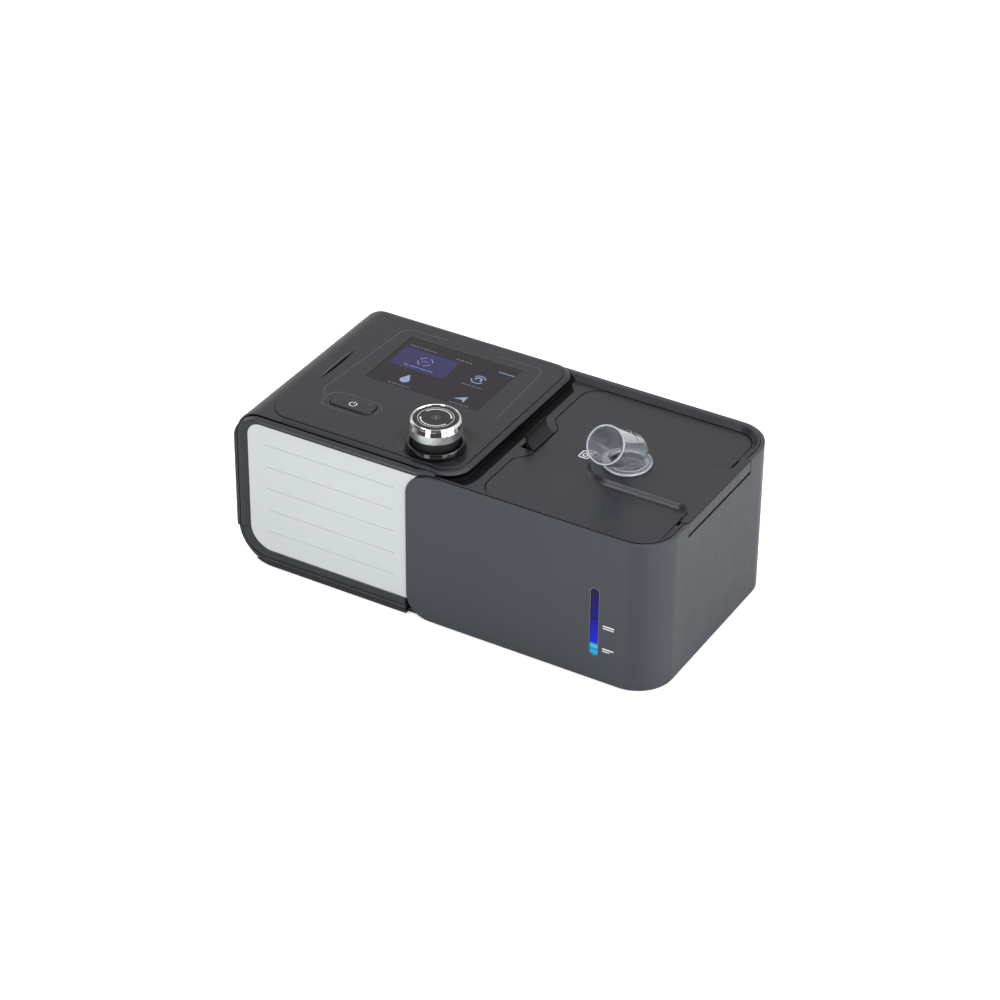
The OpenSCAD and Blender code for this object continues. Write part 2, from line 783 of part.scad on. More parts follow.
// Display module under the casing's top plate
module display_module() color("#2a2c55") {
    up(module_z, module_z + module_t) translate([window_x0 - 1, window_y0 - 1])
        square([window_l + 2, window_d + 2]);
}

// Circuit board that carries the display, the start switch and the encoder
module ui_board() color("#1f6b3a") {
    difference() {
        up(board_z, board_top) round_rect(board_x0, board_y0, board_x1, board_y1, 2);
        for (p = board_posts) rod(p, board_z - cut, board_top + cut, 1.2);
    }
    // Spacers under the display
    for (x = [window_x0 + 6, window_x0 + window_l - 6]) for (y = [window_y0 + 6, window_y0 + window_d - 6])
        rod([x, y], board_top - 0.1, module_z, 2);
}

// Start button with the flange that keeps it in and the stem that reaches its switch
module start_button() color("#3a3b3d") {
    up(plate_z - 1.2, fascia_top + start_rise) start_outline();
    up(plate_z - 1.2, plate_z - 0.4) start_outline(1.2);
    rod(start, switch_top + start_travel + seam, plate_z - 1, 2.2);
}

// Switch under the start button
module start_switch() color("#20242a") {
    block(start[0] - 3, start[1] - 3, board_top, start[0] + 3, start[1] + 3, switch_top - 0.5);
    rod(start, switch_top - 0.6, switch_top, 1.7);
}

// Gloss ring that the knob's neck turns in
module knob_base() color("#101113") {
    translate([knob[0], knob[1], 0]) rotate_extrude() polygon([
        [neck_r + 0.3, fascia_z], [base_ring_r, fascia_z], [base_ring_r, ring_top - 0.5],
        [base_ring_r - 0.5, ring_top], [neck_r + 1.2, ring_top], [neck_r + 0.3, ring_top - 0.6]]);
}

// Dark core of the knob: the neck below and the hub inside the two bands
module knob_core() color("#161719") {
    difference() {
        union() {
            rod(knob, neck_z, satin_z + 0.2, neck_r);
            rod(knob, satin_z, knob_top - cap_drop, neck_r - band_t);
        }
        rod(knob, neck_z - cut, knob_top - 4, shaft_r);
    }
}

// Satin band round the lower half of the knob
module knob_satin_band() color("#b9bcbd") {
    difference() {
        rod(knob, satin_z, chrome_z, knob_r - 0.1);
        rod(knob, satin_z, chrome_z + cut, neck_r - band_t);
        rod(knob, satin_z - cut, satin_z + 0.2, neck_r);
    }
}

// Chrome ring with a rounded top edge
module knob_chrome_ring() color("#e4e6e8") {
    round = 1;
    translate([knob[0], knob[1], 0]) rotate_extrude() difference() {
        translate([neck_r - band_t, chrome_z]) square([knob_r - neck_r + band_t, chrome_h]);
        difference() {
            translate([knob_r - round, knob_top - round]) square(round + cut);
            translate([knob_r - round, knob_top - round]) circle(round, $fn = 32);
        }
        translate([neck_r - band_t - cut, knob_top - cap_drop])
            square([cap_r - neck_r + band_t + cut, cap_drop + cut]);
    }
}

// Dark disc in the knob's top
module knob_cap() color("#37383a") {
    rod(knob, knob_top - cap_drop, knob_top - 0.4, cap_r - 0.05);
}

// Body of the rotary encoder on the board
module encoder_body() color("#8f9496") {
    difference() {
        block(knob[0] - encoder_w / 2, knob[1] - encoder_w / 2, board_top, knob[0] + encoder_w / 2,
            knob[1] + encoder_w / 2, encoder_top);
        rod(knob, encoder_floor, encoder_top + cut, shaft_r + running);
    }
}

// Shaft of the encoder, which turns in the plunger and carries the knob
module encoder_shaft() color("#c7c9ca") {
    rod(knob, shaft_z, knob_top - 4.2, shaft_r);
}

// Plunger below the shaft, which the knob pushes down without turning
module encoder_plunger() color("#d8d3c4") {
    rod(knob, plunger_z, shaft_z - 0.1, shaft_r - 0.1);
}

// Screws that hold the board under the casing
module board_screws() color("#b7babd") {
    for (p = board_posts) {
        rod(p, board_z - 0.1, board_top + 5, 1);
        rod(p, board_z - 1.4, board_z, 2);
    }
}

// Screws that hold the casing on the base
module casing_screws() color("#9a9da0") {
    for (p = casing_posts) {
        rod(p, foot_h + head_h, post_split + 12, screw_r);
        rod(p, foot_h + 1, foot_h + 1 + head_h, head_r);
    }
}

// Rubber feet in the base's recesses
module feet() color("#26272a") {
    for (p = feet_at) rod(p, 0, foot_h + 1, foot_r);
}

// ---- back ----

// Rear panel with the filter's opening and the power inlet's hole
module rear_panel() color("#3a3c40") {
    difference() {
        along_y(panel_y0, panel_y1) corner_rect(x_left + wall + seam + base_inset, floor_z + seam,
            step_x - wall - seam, plate_z - seam,
            [bottom_left_r - wall - seam, 0, 0, top_left_r - wall - seam]);
        along_y(panel_y0 - cut, panel_y1 + cut)
            translate(filter) square(filter_s + 2 * seam, center = true);
        along_y(panel_y0 - cut, panel_y1 + cut)
            translate(inlet) square([14.2, 12.2], center = true);
        // Slots that let warm air out
        for (i = [0:5]) along_y(panel_y0 - cut, panel_y1 + cut)
            translate([inlet[0], inlet[1] + 24 + i * 5]) square([24, 2], center = true);
    }
    // Frame behind the panel that holds the filter
    along_y(panel_y0 - filter_frame, panel_y0) translate(filter) difference() {
        square(filter_s + 2 * seam + 4, center = true);
        square(filter_s + 2 * seam, center = true);
    }
}

// Filter cover with its finger edge and its air slots
module filter_cover() color("#44464a") {
    along_y(panel_y0, y_back - 0.8) translate(filter) difference() {
        square(filter_s, center = true);
        for (i = [-3:3]) translate([0, i * 5.4]) square([filter_s - 10, 2.4], center = true);
    }
}

// Foam filter behind the cover
module air_filter() color("#d9dcd8") {
    along_y(panel_y0 - filter_frame, panel_y0 - seam) translate(filter)
        square(filter_s + 2 * seam, center = true);
}

// Sound-damping foam in front of the filter
module muffler_foam() color("#55585a") {
    translate([0, 0, filter[1]]) difference() {
        block(filter[0] - 22, 43, -24, filter[0] + 26, panel_y0 - filter_frame, 24);
        for (i = [-1:1]) translate([filter[0] + i * 12, 40, -6]) cube([5, 30, 12]);
    }
}

// Power socket in the rear panel, with its centre pin
module power_inlet() color("#141517") {
    y1 = panel_y1 + 0.6;
    depth = 9.5;
    difference() {
        union() {
            block(inlet[0] - 7, panel_y1 - 13, inlet[1] - 6, inlet[0] + 7, y1 - 0.6, inlet[1] + 6);
            along_y(y1 - 0.6, y1) translate(inlet) square([16, 14], center = true);
            block(inlet[0] - 5, panel_y1 - 13, floor_z, inlet[0] + 5, panel_y1 - 8, inlet[1]);
        }
        along_y(y1 - depth, y1 + cut) translate(inlet) circle(inlet_r);
    }
    along_y(y1 - depth - 0.2, y1 - 1.5) translate(inlet) circle(1.2);
}

// ---- blower ----

// Outline of the blower's housing: a drum with a straight outlet, drawn in by a distance
module blower_outline(inset) {
    translate(blower) circle(blower_r - inset);
    translate([blower[0], outlet_y - duct_r - blower_wall + inset])
        square([outlet_x - blower[0] - inset, 2 * (duct_r + blower_wall - inset)]);
}

// Lower half of the blower's housing, with the shelf that carries the motor
module blower_lower() color("#c9ccc9") {
    difference() {
        up(blower_z, blower_seam) blower_outline(0);
        rod(blower, blower_z + blower_wall, blower_seam - blower_wall, blower_r - blower_wall);
        rod(blower, blower_seam - blower_wall - cut, blower_seam + cut, rotor_r + 1);
    }
}

// Upper half of the blower's housing, with the inlet's eye and the outlet
module blower_upper() color("#d3d6d3") {
    difference() {
        up(blower_seam + 0.1, blower_top) blower_outline(0);
        up(blower_seam, blower_top - blower_wall) difference() {
            blower_outline(blower_wall);
            translate([outlet_x - 3, outlet_y - 20]) square([cut + 3, 40]);
        }
        rod(blower, blower_top - blower_wall - cut, blower_top + cut, motor_r - 2);
        translate([outlet_x - 3 - cut, outlet_y, outlet_z]) rotate([0, 90, 0])
            cylinder(h = 3 + 2 * cut, r = duct_r - duct_wall);
    }
}

// Motor under the blower's shelf
module blower_motor() color("#8a8d91") {
    difference() {
        union() {
            rod(blower, blower_z + blower_wall + 2, blower_seam - blower_wall, motor_r);
            rod(blower, blower_z + blower_wall, blower_z + blower_wall + 2.1, motor_r * 0.6);
        }
        rod(blower, blower_z + blower_wall + 6, blower_seam, rotor_r + running);
    }
}

// Shaft of the motor, which carries the impeller
module motor_shaft() color("#cfd2d4") {
    rod(blower, blower_z + blower_wall + 6.3, impeller_z + impeller_h - 2, rotor_r);
}

// Impeller: a back plate, a hub and swept blades
module impeller() color("#e8eaea") {
    difference() {
        union() {
            rod(blower, impeller_z, impeller_z + 1.5, impeller_r);
            rod(blower, impeller_z, impeller_z + impeller_h, 6);
            translate([blower[0], blower[1], impeller_z + 1.4]) for (i = [0:blade_n - 1])
                rotate([0, 0, i * 360 / blade_n]) translate([5, -0.6, 0]) rotate([0, 0, -25])
                    cube([(impeller_r - 5) * 0.92, 1.2, impeller_h - 3]);
        }
        rod(blower, impeller_z - cut, impeller_z + impeller_h - 2, rotor_r);
    }
}

// Rubber mounts between the blower and the base
module blower_mounts() color("#303236") {
    for (a = [45:90:315])
        rod([blower[0] + cos(a) * (blower_r - 9), blower[1] + sin(a) * (blower_r - 9)],
            floor_z, blower_z, 5);
}

// Straight duct from the blower to the tank
module outlet_duct() color("#bfc3c2") {
    translate([outlet_x, outlet_y, outlet_z]) rotate([0, 90, 0]) difference() {
        cylinder(h = tank_x0 - 4 - outlet_x, r = duct_r);
        translate([0, 0, -cut]) cylinder(h = tank_x0 - outlet_x, r = duct_r - duct_wall);
    }
}

// Seal between the duct and the tank's port
module duct_seal() color("#4d6f9c") {
    translate([tank_x0 - 4, outlet_y, outlet_z]) rotate([0, 90, 0]) difference() {
        cylinder(h = 4, r = duct_r + 2);
        translate([0, 0, -cut]) cylinder(h = 4 + 2 * cut, r = duct_r - duct_wall);
    }
}

// ---- humidifier ----

// Outer sleeve round the front, the right side and the back
module humidifier_sleeve() color("#4c5056") {
    difference() {
        intersection() {
            up(0, rim_h) difference() {
                sleeve_plan(0, sleeve_x0 - cut);
                sleeve_plan(wall, sleeve_x0 - 2 * cut);
            }
            along_y(y_front - cut, y_back + cut) sleeve_front();
        }
        // Slot for the water window
        along_y(y_front - cut, 0) round_rect(level_x - level_w / 2, level_z, level_x + level_w / 2,
            level_top, level_w / 2 - 0.01);
        // Opening for the lid's flap, and room for the ends of the hinge pin
        block(x_right - wall - cut, -flap_y - seam, slot_z, x_right + cut, flap_y + seam, rim_h + cut);
        translate([hinge_x, 0, hinge_z]) rotate([90, 0, 0])
            cylinder(h = flap_w + 6.4, r = pin_r + running, center = true);
    }
}

// Deck with its raised rim, the lid's ledge, the hinge well and the latch's guide
module humidifier_deck() color("#46484b") {
    deck_y = body_d / 2 - deck_in;
    deck_r = sleeve_r - deck_in;
    well_x = lid_x1 - 1.4;
    well_z = slot_z - 2.2;
    difference() {
        union() {
            up(deck_z - deck_t, rim_h) difference() {
                sleeve_plan(deck_in, deck_x0);
                body_outline(seam);
            }
            // Walls of the hinge well
            block(well_x - 2, -flap_y - 3, well_z, x_right - deck_in, flap_y + 3, deck_z - deck_t + 0.1);
        }
        // Hollow inside the rim, down to the deck
        hull() {
            up(deck_z, deck_z + 0.02) sleeve_plan(deck_in + rim_w + rim_slope, deck_x0 - cut, $fn = 48);
            up(rim_h, rim_h + 0.02) sleeve_plan(deck_in + rim_w, deck_x0 - cut, $fn = 48);
        }
        // Opening for the lid, and the smaller one for the tank below the lid's ledge
        up(lid_z - 0.2, rim_h + cut) lid_outline(seam);
        up(deck_z - deck_t - cut, rim_h) difference() {
            round_rect(lid_x0 + ledge_w, -lid_y + ledge_w, lid_x1 - ledge_w, lid_y - ledge_w,
                lid_r - ledge_w);
            translate([lid_x0, latch_y - notch_w / 2 - notch_slant - ledge_w])
                square([notch_d + ledge_w, notch_w + 2 * notch_slant + 2 * ledge_w]);
        }
        // Hinge well
        block(well_x, -flap_y - seam, well_z + 2, x_right, flap_y + seam, rim_h + cut);
        // Holes for the hinge pin
        translate([hinge_x, 0, hinge_z]) rotate([90, 0, 0])
            cylinder(h = flap_w + 10, r = pin_r, center = true);
        // Guide for the latch button, and the slot for the lid's tongue
        block(latch_hole_x0, latch_y - latch_w / 2 - seam, latch_foot_z - cut, latch_x1 + seam,
            latch_y + latch_w / 2 + seam, rim_h);
        block(latch_x1, latch_y - tongue_w / 2 - seam, latch_foot_z - cut, tongue_x + tongue_t + seam,
            latch_y + tongue_w / 2 + seam, rim_h);
        // Room for the lip of the control unit
        up(lip_z - 1.2, rim_h + cut) lip_outline(-seam);
    }
}

// Lid with its raised pad, the hinged flap and the hinge barrel
module lid() color("#494b4e") {
    difference() {
        union() {
            up(lid_z, deck_z) lid_outline();
            up(lid_z, rim_h) pad_outline();
            // Flap on the right side
            block(hinge_x, -flap_y, flap_z, x_right, flap_y, rim_h);
            translate([hinge_x, 0, hinge_z]) rotate([90, 0, 0])
                cylinder(h = flap_w, r = barrel_r, center = true);
            // Tongue that the latch holds
            block(tongue_x, latch_y - tongue_w / 2, latch_foot_z + 2.4, tongue_x + tongue_t,
                latch_y + tongue_w / 2, lid_z + 0.1);
        }
        translate([hinge_x, 0, hinge_z]) rotate([90, 0, 0])
            cylinder(h = flap_w + cut, r = pin_r + running, center = true);
        rod(elbow, lid_z - cut, rim_h + cut, elbow_r + running);
        // Groove for the elbow's seal
        rod(elbow, lid_z + 1, lid_z + 3, elbow_r + 1.8);
    }
}

// Gasket under the lid, over the tank's edge
module lid_gasket() color("#8e9a9c") {
    up(gasket_z, lid_z) difference() {
        tank_outline(-0.4);
        tank_outline(gasket_w - 0.4);
    }
}

// Pin of the lid's hinge
module hinge_pin() color("#c4c7c9") {
    translate([hinge_x, 0, hinge_z]) rotate([90, 0, 0])
        cylinder(h = flap_w + 6, r = pin_r, center = true);
}

// Latch button: a hollowed thumb ramp above the deck, a flange under it and a hook
module latch_button() color("#2d2f32") {
    along_y(latch_y - latch_w / 2, latch_y + latch_w / 2) difference() {
        polygon([[latch_x0, latch_foot_z + 2], [latch_x1, latch_foot_z + 2], [latch_x1, deck_z + 0.3],
            [latch_x0 + 0.8, deck_z + latch_h], [latch_x0, deck_z + latch_h]]);
        translate([latch_x1 + 5.2, deck_z + latch_h + 1.6]) circle(9.1);
    }
    // Flange that runs under the deck
    block(latch_x0, latch_y - latch_w / 2 - 2, latch_foot_z + 2, latch_x1, latch_y + latch_w / 2 + 2,
        deck_z - deck_t - seam);
    // Hook beside the lid's tongue
    block(latch_x1 - 3, latch_y - 4, latch_foot_z, latch_x1, latch_y + 4, latch_foot_z + 2.1);
}

// Clear elbow that the hose goes on
module outlet_elbow() color("#dfe8ec", 0.45) {
    lip = 0.8;
    foot_z = lid_z - seam - lip;
    difference() {
        union() {
            rod(elbow, foot_z, bend_z, elbow_r);
            rod(elbow, foot_z, foot_z + lip, elbow_r + 0.9);
            rod(elbow, rim_h + seam, rim_h + seam + flange_t, flange_r);
            translate([elbow[0], elbow[1], bend_z]) {
                sphere(elbow_r + bend_swell);
                rotate([90 - mouth_angle, 0, 0]) {
                    cylinder(h = mouth_l, r = elbow_r);
                    cylinder(h = mouth_l - mouth_seat, r = elbow_r + shoulder);
                }
            }
        }
        rod(elbow, foot_z - cut, bend_z, elbow_r - elbow_wall);
        translate([elbow[0], elbow[1], bend_z]) {
            sphere(elbow_r - elbow_wall + bend_swell);
            rotate([90 - mouth_angle, 0, 0]) cylinder(h = mouth_l + cut, r = elbow_r - elbow_wall);
        }
    }
}

// Ring that seals the elbow in the lid
module elbow_seal() color("#3c5f8c") {
    difference() {
        rod(elbow, lid_z + 1, lid_z + 3, elbow_r + 1.8);
        rod(elbow, lid_z, lid_z + 4, elbow_r + running);
    }
}

// Open water tank with the port for the air duct
module water_tank() color("#9fb9cc", 0.5) {
    port = duct_r - duct_wall;
    difference() {
        up(tank_z, tank_top) tank_outline();
        up(tank_z + tank_wall, tank_top + cut) tank_outline(tank_wall);
        rod([tank_mid_x, 0], tank_z - cut, tank_z + tank_wall + cut, heat_r);
        translate([tank_x0 - cut, outlet_y, outlet_z]) rotate([0, 90, 0])
            cylinder(h = tank_wall + 2 * cut, r = port);
    }
}

// Metal plate in the tank's floor
module tank_heat_plate() color("#b8bcbf") {
    rod([tank_mid_x, 0], tank_z, tank_z + heat_t, heat_r - running);
}

// Heater plate under the tank
module heater_plate() color("#9ea2a5") {
    rod([tank_mid_x, 0], heater_top - heater_t, heater_top, heat_r);
}

// Insulating ring that carries the heater plate
module heater_insulator() color("#6c5b45") {
    difference() {
        rod([tank_mid_x, 0], floor_z + 1, heater_top - heater_t, heat_r + 2);
        rod([tank_mid_x, 0], floor_z, heater_top, heat_r - 5);
    }
}

// Clear bar in the sleeve's slot
module level_window() color("#2b49d8", 0.8) {
    along_y(y_front + 0.3, -tank_y - seam) round_rect(level_x - level_w / 2 + 0.1, level_z + 0.1,
        level_x + level_w / 2 - 0.1, level_top - 0.1, level_w / 2 - 0.11);
}

// Small lamp board beside the clear bar
module level_light() color("#1f6b3a") {
    x = level_x + level_w / 2 + 0.2;
    block(x, y_front + wall, level_z, x + 1.4, -tank_y - seam, level_z + 16);
    block(x + 1.3, y_front + wall + 1, level_z + 3, x + 3, y_front + wall + 4, level_z + 6);
}

base_tray();
lower_bezel();
upper_casing();
front_bezel();
front_panel();
fascia();
display_window();
display_module();
ui_board();
start_button();
start_switch();
knob_base();
knob_core();
knob_satin_band();
knob_chrome_ring();
knob_cap();
encoder_body();
encoder_shaft();
encoder_plunger();
rear_panel();
filter_cover();
air_filter();
muffler_foam();
power_inlet();
blower_lower();
blower_upper();
blower_motor();
motor_shaft();
impeller();
blower_mounts();
outlet_duct();
duct_seal();
humidifier_sleeve();
humidifier_deck();
lid();
lid_gasket();
hinge_pin();
latch_button();
outlet_elbow();
elbow_seal();
water_tank();
tank_heat_plate();
heater_plate();
heater_insulator();
level_window();
level_light();
board_screws();
casing_screws();
feet();
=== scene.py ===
import json
import math

import bmesh
import bpy
from mathutils import Matrix, Vector


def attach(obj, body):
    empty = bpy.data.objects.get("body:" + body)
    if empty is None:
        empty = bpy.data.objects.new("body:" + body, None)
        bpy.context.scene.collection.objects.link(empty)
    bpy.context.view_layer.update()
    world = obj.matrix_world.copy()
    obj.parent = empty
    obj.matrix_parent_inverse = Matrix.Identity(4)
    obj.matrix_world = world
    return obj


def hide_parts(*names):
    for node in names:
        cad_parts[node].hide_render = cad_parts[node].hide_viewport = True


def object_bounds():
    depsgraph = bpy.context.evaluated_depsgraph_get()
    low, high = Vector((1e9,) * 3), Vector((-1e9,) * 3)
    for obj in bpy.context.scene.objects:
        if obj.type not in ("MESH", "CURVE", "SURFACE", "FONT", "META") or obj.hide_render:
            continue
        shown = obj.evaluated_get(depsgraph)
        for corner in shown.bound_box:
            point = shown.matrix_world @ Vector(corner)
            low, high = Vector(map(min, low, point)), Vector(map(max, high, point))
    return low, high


MM = 0.001

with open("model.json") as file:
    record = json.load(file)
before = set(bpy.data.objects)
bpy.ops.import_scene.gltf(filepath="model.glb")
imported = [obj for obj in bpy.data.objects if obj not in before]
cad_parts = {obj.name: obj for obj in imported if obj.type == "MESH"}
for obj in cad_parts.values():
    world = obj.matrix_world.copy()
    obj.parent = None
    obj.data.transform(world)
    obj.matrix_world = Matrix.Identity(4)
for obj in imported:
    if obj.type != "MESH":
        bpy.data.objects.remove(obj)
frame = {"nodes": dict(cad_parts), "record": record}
nodes = frame["nodes"]
cad_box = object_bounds()
scene = bpy.context.scene

# ---------------------------------------------------------------- camera
cam_data = bpy.data.cameras.new("camera")
cam = bpy.data.objects.new("camera", cam_data)
scene.collection.objects.link(cam)
cam_data.sensor_width = 36
cam_data.lens = 115.66
cam_data.clip_start, cam_data.clip_end = 0.05, 20
right = Vector((0.8635, 0.5043, 0.0086)).normalized()
back = Vector((0.417, -0.7233, 0.5505)).normalized()
up = back.cross(right).normalized()
right = up.cross(back).normalized()
turn = Matrix((right, up, back)).transposed().to_4x4()
cam.matrix_world = Matrix.Translation(Vector((0.75509, -1.31353, 1.04344))) @ turn
scene.camera = cam


# ---------------------------------------------------------------- materials
def feed(tree, node, inputs):
    """Sets a node's inputs, by name or number, to values or to the outputs of other nodes."""
    for key, value in inputs.items():
        if isinstance(value, bpy.types.NodeSocket):
            tree.links.new(value, node.inputs[key])
        else:
            node.inputs[key].default_value = value


def add(tree, kind, inputs, **settings):
    """Adds a shader node with its settings and inputs."""
    node = tree.nodes.new("ShaderNode" + kind)
    for key, value in settings.items():
        setattr(node, key, value)
    feed(tree, node, inputs)
    return node


def maths(tree, operation, *values):
    return add(tree, "Math", dict(enumerate(values)), operation=operation).outputs[0]


def new_material(name):
    mat = bpy.data.materials.new(name)
    mat.use_nodes = True
    return mat, mat.node_tree, mat.node_tree.nodes["Principled BSDF"]


def object_coords(tree):
    return add(tree, "TexCoord", {}).outputs["Object"]


def noise(tree, coords, scale, detail):
    return add(tree, "TexNoise", {"Scale": scale, "Detail": detail, "Vector": coords}).outputs["Fac"]


def spread(tree, value, low, high):
    """Stretches the middle of a noise over a range."""
    ends = {"From Min": 0.3, "From Max": 0.7, "To Min": low, "To Max": high}
    return add(tree, "MapRange", {**ends, "Value": value}).outputs["Result"]


def colours(tree, value, dark, light):
    ends = {"A": (*dark, 1), "B": (*light, 1)}
    return add(tree, "Mix", {**ends, "Factor": value}, data_type="RGBA").outputs["Result"]


def raised(tree, height, strength, distance, **settings):
    """Surface normal of a small relief, with its distance in metres."""
    relief = {"Strength": strength, "Distance": distance, "Height": height}
    return add(tree, "Bump", relief, **settings).outputs["Normal"]


def shade(colour, factor):
    return tuple(min(1.0, c * factor) for c in colour)


def plastic(name, colour, rough, swing=0.05, vary=0.06, grain=2600, bump=0.08, spec=0.5, metallic=0.0):
    """Moulded plastic, paint or metal: colour and roughness drift a little, and the skin has a fine grain."""
    mat, tree, shader = new_material(name)
    coords = object_coords(tree)
    fine = noise(tree, coords, grain, 1)
    drift = maths(tree, "MULTIPLY_ADD", noise(tree, coords, 90, 4), 0.5, maths(tree, "MULTIPLY", fine, 0.5))
    feed(tree, shader, {
        "Base Color": colours(tree, noise(tree, coords, 22, 3), shade(colour, 1 - vary), shade(colour, 1 + vary)),
        "Roughness": spread(tree, drift, rough - swing, rough + swing),
        "Normal": raised(tree, fine, bump, 0.00004),
        "Specular IOR Level": spec,
        "Metallic": metallic,
    })
    return mat


def dotted(name, colour, pitch):
    """Dark plastic with a fine pattern of raised dots."""
    mat = plastic(name, colour, 0.34, spec=0.3)
    tree = mat.node_tree
    cells = add(tree, "TexVoronoi", {"Scale": pitch, "Randomness": 0.05, "Vector": object_coords(tree)})
    dots = raised(tree, cells.outputs["Distance"], 0.55, 0.00025, invert=True)
    feed(tree, tree.nodes["Principled BSDF"], {"Normal": dots})
    return mat


def stretched(mat, amount):
    """Gloss that runs up and down a wall, as on fine vertical grain."""
    tree = mat.node_tree
    tangent = add(tree, "Tangent", {}, direction_type="RADIAL", axis="Z").outputs[0]
    feed(tree, tree.nodes["Principled BSDF"],
         {"Tangent": tangent, "Anisotropic": amount, "Anisotropic Rotation": 0.25})
    return mat


def clear(name, colour, through):
    """Clear moulded plastic, and the share of light that passes through it."""
    mat, tree, shader = new_material(name)
    coords = object_coords(tree)
    feed(tree, shader, {
        "Roughness": spread(tree, noise(tree, coords, 120, 3), 0.03, 0.08),
        "Base Color": colours(tree, noise(tree, coords, 40, 2), shade(colour, 0.985), colour),
        "Normal": raised(tree, noise(tree, coords, 300, 1), 0.05, 0.00005),
        "Transmission Weight": through,
        "Coat Weight": 1.0,
        "Coat Roughness": 0.04,
        "IOR": 1.15,
    })
    return mat


def glow(name, colour, strength):
    """Lit shape on the screen."""
    mat, tree, shader = new_material(name)
    coords = object_coords(tree)
    feed(tree, shader, {
        "Emission Color": colours(tree, noise(tree, coords, 700, 1), shade(colour, 0.92), colour),
        "Emission Strength": strength,
        "Base Color": (0.01, 0.01, 0.012, 1),
        "Specular IOR Level": 0.2,
        "Roughness": spread(tree, noise(tree, coords, 400, 2), 0.12, 0.2),
    })
    return mat


LEVEL_LOW, LEVEL_HIGH = 16.8, 60.8
# Share of the water window's height, and the colour there
LEVEL_COLOURS = (
    (0.0, (0.02, 0.34, 0.90)), (0.07, (0.03, 0.62, 1.0)), (0.10, (0.01, 0.25, 0.80)), (0.13, (0.10, 0.75, 1.0)),
    (0.17, (0.04, 0.55, 1.0)), (0.19, (0.012, 0.02, 0.86)), (0.42, (0.016, 0.012, 0.62)),
    (0.54, (0.012, 0.008, 0.34)), (0.56, (0.004, 0.003, 0.05)), (0.59, (0.014, 0.009, 0.30)),
    (0.82, (0.013, 0.008, 0.14)), (1.0, (0.012, 0.010, 0.045)))


def window_glow(name):
    """Lit water window: dark above, blue in the middle and bright at the water, by height on the object."""
    mat, tree, shader = new_material(name)
    coords = object_coords(tree)
    height = add(tree, "MapRange", {
        "From Min": LEVEL_LOW * MM, "From Max": LEVEL_HIGH * MM,
        "Value": add(tree, "SeparateXYZ", {0: coords}).outputs["Z"]})
    ramp = add(tree, "ValToRGB", {"Fac": height.outputs["Result"]})
    stops = ramp.color_ramp.elements
    while len(stops) < len(LEVEL_COLOURS):
        stops.new(0.5)
    for stop, (at, colour) in zip(stops, LEVEL_COLOURS):
        stop.position = at
        stop.color = (*colour, 1)
    feed(tree, shader, {
        "Emission Color": ramp.outputs["Color"],
        "Emission Strength": 0.72,
        "Base Color": (0.002, 0.002, 0.006, 1),
        "Specular IOR Level": 0.12,
        "Roughness": spread(tree, noise(tree, coords, 400, 2), 0.1, 0.2),
    })
    return mat


